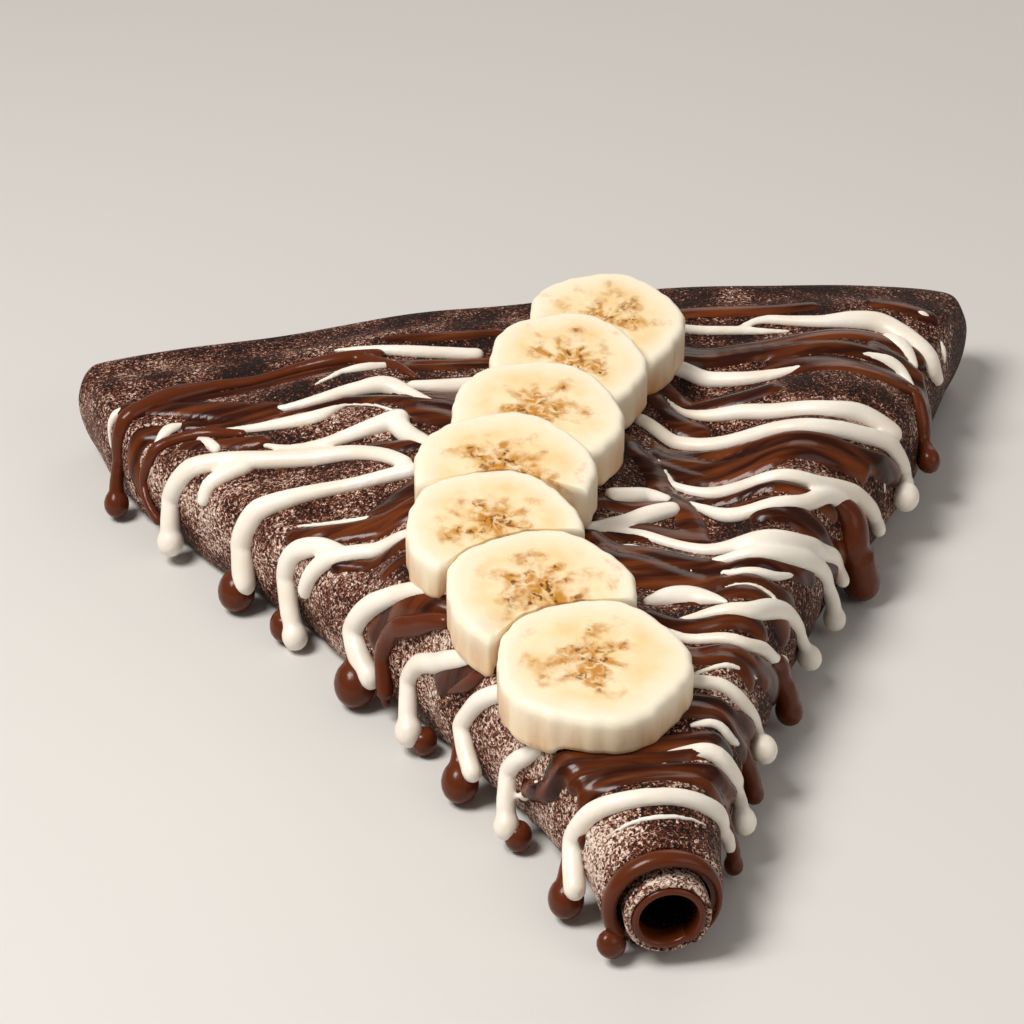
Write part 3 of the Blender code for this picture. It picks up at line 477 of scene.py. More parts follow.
# Studio: lights as (name, place, size, power, colour)
LIGHTS = (
    ("key", (-0.45, -0.15, 0.75), 0.35, 7.8, "#fffcf8"),
    ("rim", (0.35, 0.75, 0.45), 0.5, 1.1, "#fff4e8"),
    ("fill", (0.6, -0.6, 0.5), 0.6, 1.5, "#fffaf4"),
)
LIGHTS_AIM = Vector((0.0, 0.0, 10 * MM))
SKY_COLOUR = "#efece7"
SKY_STRENGTH = 0.21
FLOOR_SIZE = 4.0
FLOOR_DARK = "#d5d2ce"
FLOOR_PALE = "#dad8d4"

# Points closer than this are joined
JOIN_REACH = 0.001 * MM

# Lines whose cross product is smaller than this are parallel
NO_CROSS = 1e-12

# Numbers of the colour inputs of a mix node
MIX_FIRST, MIX_SECOND = 6, 7


def smooth(low, high, value):
    """Soft step from 0 at low to 1 at high."""
    share = np.clip((value - low) / (high - low), 0.0, 1.0)
    return share * share * (3.0 - 2.0 * share)


def along(points, value):
    """Smooth curve through (place, size) points, for one value or an array."""
    places = np.array([point[0] for point in points], float)
    sizes = np.array([point[1] for point in points], float)
    slopes = np.empty_like(sizes)
    slopes[1:-1] = (sizes[2:] - sizes[:-2]) / (places[2:] - places[:-2])
    slopes[0] = (sizes[1] - sizes[0]) / (places[1] - places[0])
    slopes[-1] = (sizes[-1] - sizes[-2]) / (places[-1] - places[-2])
    value = np.clip(value, places[0], places[-1])
    first = np.clip(np.searchsorted(places, value, "right") - 1, 0, len(places) - 2)
    step = places[first + 1] - places[first]
    t = (value - places[first]) / step
    curve = (2 * t ** 3 - 3 * t ** 2 + 1) * sizes[first] + (3 * t ** 2 - 2 * t ** 3) * sizes[first + 1]
    bend = (t ** 3 - 2 * t ** 2 + t) * slopes[first] + (t ** 3 - t ** 2) * slopes[first + 1]
    return curve + step * bend


def evenly(values):
    """The values as (share, value) points for along."""
    return tuple((i / (len(values) - 1), value) for i, value in enumerate(values))


def relief(station, x, share):
    """Height of the soft ridges and the valley on top of the crepe."""
    back = smooth(BACK_FROM, CREPE_LENGTH, station)
    height = along(BACK_HEIGHTS, share) * back
    for place, spread, ridge in RIDGES:
        height = height + ridge * (1.0 - back) * np.exp(-(((share - place) / spread) ** 2))
    valley = VALLEY_DEPTH * smooth(VALLEY_FROM, RELIEF_FULL, station) * (1.0 - back)
    height = height - valley * np.exp(-(((x - VALLEY_PLACE) / VALLEY_WIDTH) ** 2))
    return height * smooth(RELIEF_FROM, RELIEF_FULL, station)


def bed_share(station, x):
    """How far the skin at a place follows the bed of the row."""
    ends = smooth(*BED_START, station) * (1.0 - smooth(*BED_END, station))
    return ends * (1.0 - smooth(BED_FLAT, BED_FADE, np.abs(x - along(ROW, station))))


def pinches(station, cosine):
    """How far the crepe's sides draw in under the drips."""
    depth = 0.0
    for rope in WHITE_ROPES + MILK_ROPES:
        if rope.end is EDGE:
            near = np.exp(-(((station - rope.places[-1] * MM) / PINCH_WIDTH) ** 2))
            depth = np.maximum(depth, near * smooth(*PINCH_FADE, cosine * rope.side))
    return depth * PINCH_DEPTH


def skin_points(station, turn):
    """Points on the crepe at places along it; turn 0 is its right side, 90 its top, 180 its left side."""
    station, turn = np.broadcast_arrays(np.asarray(station, float), np.asarray(turn, float))
    cosine, sine = np.cos(np.radians(turn)), np.sin(np.radians(turn))
    width = along(HALF_WIDTHS, station)
    width = width + np.where(cosine > 0.0, along(RIGHT_FLARE, station), 0.0)
    ripple = SIDE_RIPPLE * np.sin(math.tau * station / RIPPLE_PITCH) * smooth(*RIPPLE_START, station)
    radius = np.minimum(EDGE_RADIUS * (1.0 + ripple), width)
    turn_from_right = np.degrees(np.arccos(np.clip(cosine, -1.0, 1.0)))
    spread = 1.0 - 2.0 * smooth(SIDE_TURN, 180.0 - SIDE_TURN, turn_from_right)
    x = (width - radius) * spread + radius * cosine
    x = x - np.sign(cosine) * pinches(station, cosine)
    shift = TIP_SHIFT * (1.0 - station / CREPE_LENGTH)
    top = radius * (1.0 + sine) + relief(station, x, x / width) * smooth(*RELIEF_FADE, sine)
    top = top + (along(BED, station) - top) * bed_share(station, x + shift) * smooth(*BED_RISE, sine)
    flatten = FLATTEN_TIP + (FLATTEN_BACK - FLATTEN_TIP) * smooth(0.0, FLATTEN_REACH, station)
    bottom = radius * (1.0 - np.minimum(1.0, flatten * -sine))
    z = np.where(sine >= 0.0, top, bottom)
    into_back = np.clip((station - CREPE_LENGTH + EDGE_RADIUS) / EDGE_RADIUS, 0.0, 1.0)
    closing = np.sqrt(1.0 - into_back ** 2)
    z = EDGE_RADIUS + (z - EDGE_RADIUS) * closing
    x = x * (1.0 - BACK_NARROWING * (1.0 - closing))
    bow = np.where(cosine > 0.0, RIGHT_BOW, LEFT_BOW)
    y = station - MIDDLE - bow * (x / BOW_REACH) ** 2 * smooth(BOW_FROM, CREPE_LENGTH, station)
    lumps = sum(
        height * np.sin(across * x + length * station + start) for across, length, height, start in LUMPS
    )
    z = z + lumps * smooth(*LUMPS_FADE, sine) * smooth(*LUMPS_START, station) * closing
    return np.stack((x + shift, y, z), axis=-1)


def skin_normals(station, turn):
    """Directions straight out of the skin."""
    over = skin_points(station, np.asarray(turn) + 1.0) - skin_points(station, np.asarray(turn) - 1.0)
    ahead = skin_points(np.asarray(station) + MM, turn) - skin_points(np.asarray(station) - MM, turn)
    out = np.cross(ahead, over)
    return out / np.linalg.norm(out, axis=-1, keepdims=True)


class SkinRule:
    """Turns of the skin by the reach of a walk over it from the middle line."""

    def __init__(self):
        self.stations = np.arange(0.0, CREPE_LENGTH, MM)
        self.turns = np.arange(*WALK_TURNS)
        points = skin_points(self.stations[:, None], self.turns[None, :])
        steps = np.linalg.norm(np.diff(points, axis=1), axis=-1)
        walked = np.concatenate((np.zeros((len(self.stations), 1)), np.cumsum(steps, axis=1)), axis=1)
        middle = walked[:, [int(90.0 - self.turns[0])]]
        self.reach = middle - walked

    def row(self, station):
        """Row of the rule nearest to a place along the crepe."""
        return int(np.clip(round(station / MM), 0, len(self.stations) - 1))

    def turn(self, station, reach):
        """Turn at a signed reach, positive to the right."""
        place = np.clip(station / MM, 0, len(self.stations) - 1.001)
        low = int(place)
        share = place - low
        reach_here = self.reach[low] * (1.0 - share) + self.reach[low + 1] * share
        return float(np.interp(-reach, -reach_here, self.turns))

    def edge(self, station, side):
        """Unsigned reach of the widest line of one side."""
        column = int((0.0 if side == RIGHT else 180.0) - self.turns[0])
        return abs(float(self.reach[self.row(station)][column]))


RULE = SkinRule()


def linear(colour):
    """sRGB hex colour to linear RGBA."""
    parts = [int(colour[i:i + 2], 16) / 255.0 for i in (1, 3, 5)]
    return tuple(c / 12.92 if c <= 0.04045 else ((c + 0.055) / 1.055) ** 2.4 for c in parts) + (1.0,)


def connect(tree, node, inputs):
    """Links or sets a node's inputs, keyed by name or number; a node stands for its first output in use."""
    for name, value in inputs.items():
        if isinstance(value, bpy.types.Node):
            value = next(output for output in value.outputs if output.enabled)
        if isinstance(value, bpy.types.NodeSocket):
            tree.links.new(value, node.inputs[name])
        else:
            node.inputs[name].default_value = value


def add(tree, kind, inputs=None, stops=(), **settings):
    """Adds a node with its settings, links and, on a colour ramp, its (place, colour or grey) stops."""
    node = tree.nodes.new("ShaderNode" + kind)
    for name, value in settings.items():
        setattr(node, name, value)
    connect(tree, node, inputs or {})
    for i, (place, colour) in enumerate(stops):
        if i > 1:
            node.color_ramp.elements.new(1.0)
        node.color_ramp.elements[i].position = place
        node.color_ramp.elements[i].color = (colour,) * 3 + (1.0,) if isinstance(colour, float) else colour
    return node


def new_material(name):
    """A new material with its node tree and shader."""
    made = bpy.data.materials.new(name)
    made.use_nodes = True
    return made, made.node_tree, made.node_tree.nodes["Principled BSDF"]


def crumb_material(look):
    """Baked cocoa batter, a matt open crumb: painted shade, near black, in its pits, and painted glints,
    pale, on its tips.
    """
    made, tree, shader = new_material("baked_cocoa_batter")
    place = add(tree, "TexCoord").outputs["Object"]
    # Flecks of the crumb are about 0.5 mm, and its paler and darker patches about 10 mm
    fleck, patch = 1.1 * look.crumb_size, 20.0 * look.crumb_size
    crumb = add(tree, "TexNoise", {
        "Vector": place, "Scale": 1.0 / fleck, "Detail": 2.0, "Roughness": 0.7, "Distortion": 0.9,
    })
    patches = add(tree, "TexNoise", {"Vector": place, "Scale": 1.0 / patch, "Detail": 2.0})
    # An attribute of painted light and shade moves the crumb towards the glints on the left and at the tip,
    # and towards shade underneath, at the back and in the inner roll's hole
    painted_light = add(tree, "Attribute", attribute_name="painted_light").outputs["Fac"]
    patch_share = add(tree, "Math", {0: patches, 1: 0.42, 2: -0.21}, operation="MULTIPLY_ADD")
    crumb_offset_with_painted_light = add(tree, "Math", {0: patch_share, 1: painted_light}, operation="ADD")
    painted_shade_to_glint = add(tree, "Math", {0: crumb, 1: crumb_offset_with_painted_light}, operation="ADD")
    # The colour runs from painted shade in the pits, through the batter's own browns, to pale painted glints
    # on the tips
    colour = add(tree, "ValToRGB", {"Fac": painted_shade_to_glint}, stops=(
        (0.42, look.crepe_pit_shade), (0.475, look.crepe), (0.55, look.crepe_raised), (0.67, look.crepe_painted_glints),
    ))
    pits = add(tree, "TexVoronoi", {"Vector": place, "Scale": 1.0 / (1.5 * look.crumb_size)})
    height = add(tree, "Math", {0: crumb, 1: pits}, operation="ADD")
    bump = add(tree, "Bump", {"Height": height, "Strength": 0.9, "Distance": 0.8 * look.crumb_size})
    connect(tree, shader, {
        "Base Color": colour, "Normal": bump, "Roughness": 0.62, "Specular IOR Level": 0.2,
    })
    return made


def milk_material(look):
    """Melted milk chocolate, cocoa butter and milk fat: glossy deep brown, streaked where it flowed."""
    made, tree, shader = new_material("melted_milk_chocolate")
    flow = add(tree, "Attribute", attribute_name="flow").outputs["Vector"]
    # Flow streaks are about 2.5 mm across and 25 mm long
    drawn = add(tree, "Mapping", {"Vector": flow, "Scale": (400.0, 40.0, 200.0)})
    streaks = add(tree, "TexNoise", {"Vector": drawn, "Scale": 1.0, "Detail": 3.0})
    colour = add(tree, "ValToRGB", {"Fac": streaks}, stops=((0.42, look.milk_deep), (0.66, look.milk)))
    # Only the film has the flow and thin attributes: strands and drops are thick and don't show streaks
    thin = add(tree, "Attribute", attribute_name="thin").outputs["Fac"]
    body = add(
        tree, "Mix", {"Factor": thin, MIX_FIRST: look.milk_thick, MIX_SECOND: colour}, data_type="RGBA",
    )
    bump = add(tree, "Bump", {"Height": streaks, "Strength": 0.25, "Distance": 0.4 * MM})
    connect(tree, shader, {
        "Base Color": body, "Normal": bump, "Roughness": 0.24, "IOR": 1.45,
        "Specular IOR Level": 0.22, "Coat Weight": 0.1, "Coat Roughness": 0.06,
    })
    return made


def white_material(look):
    """Melted white chocolate: creamy, satin and a little see-through, so its edges glow."""
    made, tree, shader = new_material("melted_white_chocolate")
    place = add(tree, "TexCoord").outputs["Object"]
    # Thicker and thinner parts are some 9 mm apart
    clouds = add(tree, "TexNoise", {"Vector": place, "Scale": 1.0 / (9.0 * MM), "Detail": 2.0})
    colour = add(tree, "ValToRGB", {"Fac": clouds}, stops=((0.3, look.white_deep), (0.6, look.white)))
    connect(tree, shader, {
        "Base Color": colour, "Roughness": 0.36, "IOR": 1.46,
        "Subsurface Weight": 0.2, "Subsurface Radius": (1.0, 0.75, 0.5), "Subsurface Scale": 0.8 * MM,
    })
    return made


def banana_material(look):
    """Ripe banana, cut across: moist pale flesh, tan rays round its seed pits, a ribbed peeled side."""
    made, tree, shader = new_material("cut_ripe_banana")
    # slice_place is a place in a slice in shares of its radius, 15 mm, with the slice's number as its height
    place = add(tree, "Attribute", attribute_name="slice_place").outputs["Vector"]
    wall = add(tree, "Attribute", attribute_name="wall").outputs["Fac"]
    split = add(tree, "SeparateXYZ", {"Vector": place}).outputs
    flat = add(tree, "CombineXYZ", {"X": split["X"], "Y": split["Y"]})
    reach = add(tree, "VectorMath", {0: flat}, operation="LENGTH")
    heading = add(tree, "VectorMath", {0: flat}, operation="NORMALIZE")
    turned = add(tree, "SeparateXYZ", {"Vector": heading}).outputs
    # Rays: noise that changes round the slice and hardly outwards
    outwards = add(tree, "Math", {0: reach, 1: 1.6, 2: 0.0}, operation="MULTIPLY_ADD")
    numbered = add(tree, "Math", {0: split["Z"], 1: 3.7, 2: outwards}, operation="MULTIPLY_ADD")
    round_place = add(tree, "CombineXYZ", {"X": turned["X"], "Y": turned["Y"], "Z": numbered})
    lobes = add(tree, "TexNoise", {"Vector": round_place, "Scale": 1.9, "Detail": 1.0})
    blots = add(tree, "TexNoise", {"Vector": place, "Scale": 4.5, "Detail": 4.0, "Roughness": 0.6})
    core_size = add(tree, "Math", {0: lobes, 1: 1.5, 2: -0.42}, operation="MULTIPLY_ADD")
    core_blots = add(tree, "Math", {0: blots, 1: 0.9, 2: core_size}, operation="MULTIPLY_ADD")
    core_depth = add(tree, "Math", {0: core_blots, 1: reach}, operation="SUBTRACT")
    core_tan = add(tree, "ValToRGB", {"Fac": core_depth}, stops=((0.24, 0.0), (0.64, 1.0)))
    mottle = add(tree, "TexNoise", {"Vector": place, "Scale": 8.0, "Detail": 3.0, "Distortion": 0.8})
    pale = add(tree, "ValToRGB", {"Fac": mottle}, stops=((0.38, 0.25), (0.56, 1.0)))
    core = add(tree, "Math", {0: core_tan, 1: pale}, operation="MULTIPLY")
    soft = add(tree, "TexNoise", {"Vector": place, "Scale": 2.6, "Detail": 4.0})
    colour = add(tree, "ValToRGB", {"Fac": soft}, stops=((0.35, look.banana_deep), (0.6, look.banana)))
    rim = add(tree, "ValToRGB", {"Fac": reach}, stops=((0.62, 0.0), (0.93, 1.0)))
    # Seed pits are about 1 mm across, in clusters mostly within 6 mm of the middle
    spread = add(tree, "TexNoise", {"Vector": place, "Scale": 9.0, "Detail": 2.0}).outputs["Color"]
    warped = add(tree, "VectorMath", {0: spread, 1: (0.3, 0.3, 0.0), 2: place}, operation="MULTIPLY_ADD")
    cells = add(tree, "TexVoronoi", {"Vector": warped, "Scale": 12.0})
    dots = add(tree, "ValToRGB", {"Fac": cells}, stops=((0.26, 1.0), (0.50, 0.0)))
    clusters = add(tree, "TexNoise", {"Vector": place, "Scale": 5.5, "Detail": 1.0})
    cluster_share = add(tree, "ValToRGB", {"Fac": clusters}, stops=((0.43, 0.0), (0.52, 1.0)))
    seed_zone = add(tree, "ValToRGB", {"Fac": core_depth}, stops=((0.42, 0.0), (0.62, 1.0)))
    near_seeds = add(tree, "Math", {0: cluster_share, 1: seed_zone}, operation="MULTIPLY")
    seeds = add(tree, "Math", {0: dots, 1: near_seeds}, operation="MULTIPLY")
    # The peeled side's ribs run upright
    upright = add(tree, "Mapping", {"Vector": place, "Scale": (1.0, 1.0, 0.3)})
    ribs = add(tree, "TexNoise", {"Vector": upright, "Scale": 3.2, "Detail": 4.0})
    side = add(tree, "ValToRGB", {"Fac": ribs}, stops=(
        (0.27, look.banana_core), (0.33, look.banana_side_deep), (0.58, look.banana_side),
    ))
    layers = ((rim, look.banana_rim), (core, look.banana_core), (seeds, look.banana_seed), (wall, side))
    for share, over in layers:
        colour = add(tree, "Mix", {"Factor": share, MIX_FIRST: colour, MIX_SECOND: over}, data_type="RGBA")
    height = add(tree, "Math", {0: seeds, 1: -0.12, 2: ribs}, operation="MULTIPLY_ADD")
    bump = add(tree, "Bump", {"Height": height, "Strength": 0.5, "Distance": 0.3 * MM})
    connect(tree, shader, {
        "Base Color": colour, "Normal": bump, "Roughness": 0.4, "IOR": 1.4,
        "Subsurface Weight": 0.25, "Subsurface Radius": (1.0, 0.7, 0.35), "Subsurface Scale": 1.2 * MM,
    })
    return made


def mesh_piece(name, points, faces, look, node):
    """A smooth-shaded mesh piece that rides on the body and stands for a node."""
    mesh = bpy.data.meshes.new(name)
    mesh.from_pydata([tuple(point) for point in points], [], faces)
    mesh.update()
    made = bpy.data.objects.new(name, mesh)
    bpy.context.scene.collection.objects.link(made)
    mesh.shade_smooth()
    mesh.materials.append(look)
    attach(made, BODY)
    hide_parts(node)
    return made


def face_outwards(made, join=False):
    """Turns a mesh's faces outwards, once its points are joined where its rows meet."""
    form = bmesh.new()
    form.from_mesh(made.data)
    if join:
        bmesh.ops.remove_doubles(form, verts=form.verts, dist=JOIN_REACH)
    bmesh.ops.recalc_face_normals(form, faces=form.faces)
    form.to_mesh(made.data)
    form.free()


def grid_faces(rows, columns, closed):
    """Quads of a grid of points whose rows may close on themselves."""
    faces = []
    last = columns if closed else columns - 1
    for i in range(rows - 1):
        for j in range(last):
            k = (j + 1) % columns
            faces.append((i * columns + j, i * columns + k, (i + 1) * columns + k, (i + 1) * columns + j))
    return faces


def attribute(made, name, values, kind="FLOAT"):
    """Stores one value or vector a point for the materials."""
    layer = made.data.attributes.new(name, kind, "POINT")
    field = "vector" if kind == "FLOAT_VECTOR" else "value"
    layer.data.foreach_set(field, np.ravel(values).astype(np.float32))


def ring(radius, y, height, turns):
    """Points of a circle across the crepe's long axis."""
    radius = np.broadcast_to(radius, np.shape(turns))
    x = TIP_SHIFT + radius * np.cos(np.radians(turns))
    return np.stack((x, np.full_like(x, y - MIDDLE), height + radius * np.sin(np.radians(turns))), axis=-1)


def crepe_grid():
    """Rows of points of the crepe: from the hollow's end over the tip's rim to the closed back."""
    turns = np.concatenate((np.linspace(*TOP_TURNS), np.linspace(*UNDER_TURNS)[1:-1]))
    inner = [ring(BORE_RADIUS * share, depth, BORE_HEIGHT, turns) for depth, share in BORE_ROWS]
    hollow, outer = inner[-1], skin_points(0.0, turns)
    for share in RIM_SHARES:
        rim = hollow + (outer - hollow) * share
        rim[:, 1] = -MIDDLE + TIP_ROUND * (abs(share - 0.5) * RIM_ROUND) ** 2
        inner.append(rim)
    straight_end = CREPE_LENGTH - EDGE_RADIUS
    stations = np.concatenate((
        np.linspace(TIP_ROUND, straight_end, SKIN_ROWS),
        straight_end + EDGE_RADIUS * np.sin(np.linspace(0.0, math.pi / 2.0, BACK_ROWS)[1:]),
    ))
    outer_rows = skin_points(stations[:, None], turns[None, :])
    return np.concatenate((np.stack(inner), outer_rows)), turns


def crumb_offset_with_painted_light(points, turns):
    """Painted light and shade on the crumb: painted highlight most on the left side and round the tip,
    painted shade at the back and underneath, and darker all over.
    """
    station = points[:, 1] + MIDDLE
    left = smooth(*LEFT_FADE, -np.cos(turns))
    tip = 1.0 - smooth(*TIP_END, station)
    under = smooth(*UNDER_FADE, -np.sin(turns))
    back = smooth(*BACK_START, station)
    return PAINTED_HIGHLIGHT_LEFT * left + PAINTED_HIGHLIGHT_TIP * tip - PAINTED_SHADE_UNDER * under - PAINTED_SHADE_BACK * back - CRUMB_DARKER_ALL


class CREPE_OT_skin(bpy.types.Operator):
    """The folded crepe's skin with its lumps, pinched sides and crumb"""

    bl_idname = "crepe.skin"
    bl_label = "Crepe skin"

    def execute(self, context):
        rows, turns = crepe_grid()
        count = len(turns)
        points = rows.reshape(-1, 3)
        made = mesh_piece(
            "crepe_skin", points, grid_faces(len(rows), count, True),
            crumb_material(context.scene.crepe_looks), "crepe",
        )
        # Paints light and shade into the skin's crumb: painted highlight on the left and at the tip, painted
        # shade underneath and at the back
        attribute(made, "painted_light", crumb_offset_with_painted_light(points, np.tile(np.radians(turns), len(rows))))
        return {"FINISHED"}


def rope_path(rope):
    """Centres, radii and outward directions along a rope: over the skin, then down to its drip."""
    if rope.start is None:
        return bead_path(rope, Vector((0.0, 0.0, -1.0)), 0.0)
    last = rope.places[-1] * MM
    start = rope.start * MM
    end = RULE.edge(last, rope.side) if rope.end is EDGE else rope.end * MM
    length = math.hypot(end - start, (rope.places[-1] - rope.places[0]) * MM)
    steps = max(4, round(length / ROPE_STEP))
    shares = np.linspace(0.0, 1.0, steps + 1)
    stations = along(evenly([place * MM for place in rope.places]), shares)
    radii = along(evenly([radius * MM for radius in rope.radius]), shares)
    centres, outs = [], []
    for share, station, radius in zip(shares, stations, radii):
        turn = RULE.turn(station, rope.side * (start + (end - start) * share))
        out = Vector(skin_normals(station, turn))
        centres.append(Vector(skin_points(station, turn)) + out * ROPE_LIFT * radius)
        outs.append(out)
    path = list(zip(centres, radii, outs))
    if rope.drip:
        path += drip_path(rope, centres[-1], radii[-1])
    else:
        path = round_end(path[::-1])[::-1]
    return round_end(path)


def round_end(path):
    """The same path with a rounded tip at its first point."""
    (first, radius, out), (second, _, _) = path[0], path[1]
    back = (first - second).normalized()
    return [(first + back * radius * place, radius * share, out) for place, share in ROUND_TIP] + path


def drip_low(rope):
    """Centre of a rope's bead, beside the crepe's widest line."""
    drip = rope.drip
    side_turn = 0.0 if rope.side == RIGHT else 180.0
    side_x = float(skin_points(drip.place * MM, side_turn)[0])
    bead_out = DRIP_OUT + BEAD_OUT * drip.radius * MM if drip.out is None else drip.out * MM
    return Vector((side_x + rope.side * bead_out, drip.place * MM - MIDDLE, drip.height * MM))


def round_bead(low, down, radius, neck, out):
    """A round bead, not thinner at its top than the neck that it hangs from."""
    return [
        (low - down * radius * place, max(radius * share, neck if place > NECK_FROM else 0.0), out)
        for place, share in BEAD_ROUND
    ]


def bead_path(rope, down, neck):
    """The bead at the end of a rope."""
    return round_bead(drip_low(rope), down, rope.drip.radius * MM, neck, Vector((rope.side, 0.0, 0.0)))


def drip_path(rope, edge, radius):
    """The hanging end of a rope, from the crepe's widest line down to a rounded bead."""
    bead = rope.drip.radius * MM
    low = drip_low(rope)
    lean = edge.lerp(low, DRIP_LEAN)
    lean.x = max(edge.x, low.x) if rope.side == RIGHT else min(edge.x, low.x)
    out = Vector((rope.side, 0.0, 0.0))
    path = []
    fall = (low - edge).length
    if fall > LONG_FALL * bead:
        count = max(2, round((fall - bead) / ROPE_STEP))
        for i in range(1, count + 1):
            t = i / count
            point = edge * (1 - t) ** 2 + lean * 2 * t * (1 - t) + low * t ** 2
            if (point - low).length > BEAD_CLEAR * bead:
                path.append((point, radius + max(0.0, DRIP_GROWTH * bead - radius) * t ** 3, out))
    last = path[-1][0] if path else edge
    neck = min(path[-1][1] if path else radius, NECK_MOST * bead)
    return path + bead_path(rope, (low - last).normalized(), neck)


def tube(path, points, faces, wide=ROPE_WIDE):
    """Adds a closed tube, a little wider than high on the skin."""
    first = len(points)
    count = ROPE_POINTS
    for i, (centre, radius, out) in enumerate(path):
        ahead = (path[min(i + 1, len(path) - 1)][0] - path[max(i - 1, 0)][0]).normalized()
        across = ahead.cross(out).normalized()
        up = across.cross(ahead).normalized()
        for j in range(count):
            angle = math.tau * j / count
            sideways = across * (radius * wide * math.cos(angle))
            points.append(centre + sideways + up * (radius * ROPE_FLAT * math.sin(angle)))
    faces += [tuple(first + v for v in face) for face in grid_faces(len(path), count, True)]
    end = first + (len(path) - 1) * count
    faces.append(tuple(first + j for j in range(count))[::-1])
    faces.append(tuple(end + j for j in range(count)))


def drizzle_piece(name, ropes, look):
    """Ropes of one chocolate, run together where they touch."""
    points, faces = [], []
    for rope in ropes:
        tube(rope_path(rope), points, faces)
    made = mesh_piece(name, points, faces, look, "crepe")
    face_outwards(made)
    merge = made.modifiers.new("Run together", "REMESH")
    merge.mode = "VOXEL"
    merge.voxel_size = DRIZZLE_VOXEL
    soften = made.modifiers.new("Soften", "SMOOTH")
    soften.factor = SOFTEN_SHARE
    soften.iterations = SOFTEN_STEPS
    settle(made)
    made.data.materials.clear()
    made.data.materials.append(look)
    made.data.shade_smooth()


def settle(made):
    """Bakes the piece's modifiers into its mesh."""
    bpy.context.view_layer.update()
    baked = bpy.data.meshes.new_from_object(made.evaluated_get(bpy.context.evaluated_depsgraph_get()))
    made.modifiers.clear()
    old = made.data
    made.data = baked
    baked.name = made.name
    bpy.data.meshes.remove(old)


class CREPE_OT_white_drizzle(bpy.types.Operator):
    """Ropes, drips and beads of white chocolate"""

    bl_idname = "crepe.white_drizzle"
    bl_label = "White chocolate drizzle"

    def execute(self, context):
        look = white_material(context.scene.crepe_looks)
        drizzle_piece("white_chocolate_drizzle", WHITE_ROPES, look)
        return {"FINISHED"}


def film_height(stations, reaches):
    """Thickness of the thin milk chocolate over a grid of stations and reaches."""
    height = np.full(stations.shape, FILM_HIDDEN)
    shares = np.linspace(0.0, 1.0, BAND_STEPS)
    for band in MILK_BANDS:
        line_reach = band.side * (band.start + (band.end - band.start) * shares) * MM
        line_station = along(evenly([place * MM for place in band.places]), shares)
        nearest = np.full(stations.shape, 1.0)
        for place, reach in zip(line_station, line_reach):
            nearest = np.minimum(nearest, np.hypot(stations - place, reaches - reach))
        share = np.maximum(1.0 - (nearest / (band.width * MM)) ** 2, -1.0)
        height = np.maximum(height, band.thickness * MM * np.sign(share) * np.abs(share) ** BAND_CROWN)
    return height


def milk_look():
    """The milk chocolate, made once and shared by its pieces."""
    return bpy.data.materials.get("melted_milk_chocolate") or milk_material(bpy.context.scene.crepe_looks)


class CREPE_OT_milk_film(bpy.types.Operator):
    """Thin milk chocolate spread between the ropes"""

    bl_idname = "crepe.milk_film"
    bl_label = "Milk chocolate film"

    def execute(self, context):
        stations = np.arange(*FILM_STATIONS, FILM_STEP)
        reaches = np.arange(*FILM_REACHES, FILM_STEP)
        grid_station, grid_reach = np.meshgrid(stations, reaches, indexing="ij")
        rng = np.random.default_rng(FILM_SEED)
        wave = sum(
            weight * np.sin(grid_station * ahead + grid_reach * across + rng.uniform(0, FILM_SHIFT))
            for weight, ahead, across in FILM_WAVES
        )
        height = film_height(grid_station + FILM_WANDER * wave, grid_reach)
        height = height + np.where(height > 0.0, FILM_STREAK * wave, 0.0)
        points = np.empty(grid_station.shape + (3,))
        for i, station in enumerate(stations):
            turns = np.array([RULE.turn(station, reach) for reach in reaches])
            points[i] = skin_points(station, turns) + skin_normals(station, turns) * height[i][:, None]
            height[i][np.abs(turns - 90.0) > FILM_TURN] = -1.0
        low = height.reshape(-1) < FILM_CUT
        faces = [face for face in grid_faces(*height.shape, False) if not all(low[v] for v in face)]
        used = sorted({v for face in faces for v in face})
        order = {v: i for i, v in enumerate(used)}
        faces = [tuple(order[v] for v in face) for face in faces]
        points = points.reshape(-1, 3)[used]
        made = mesh_piece("milk_chocolate_film", points, faces, milk_look(), "crepe")
        flow = np.stack((grid_station, grid_reach, 0.0 * height), axis=-1).reshape(-1, 3)
        attribute(made, "flow", flow[used], "FLOAT_VECTOR")
        attribute(made, "thin", np.ones(len(used)))
        return {"FINISHED"}


class CREPE_OT_milk_drips(bpy.types.Operator):
    """Thick strands, drips and beads of milk chocolate"""

    bl_idname = "crepe.milk_drips"
    bl_label = "Milk chocolate drips"

    def execute(self, context):
        drizzle_piece("milk_chocolate_drips", MILK_ROPES, milk_look())
        return {"FINISHED"}


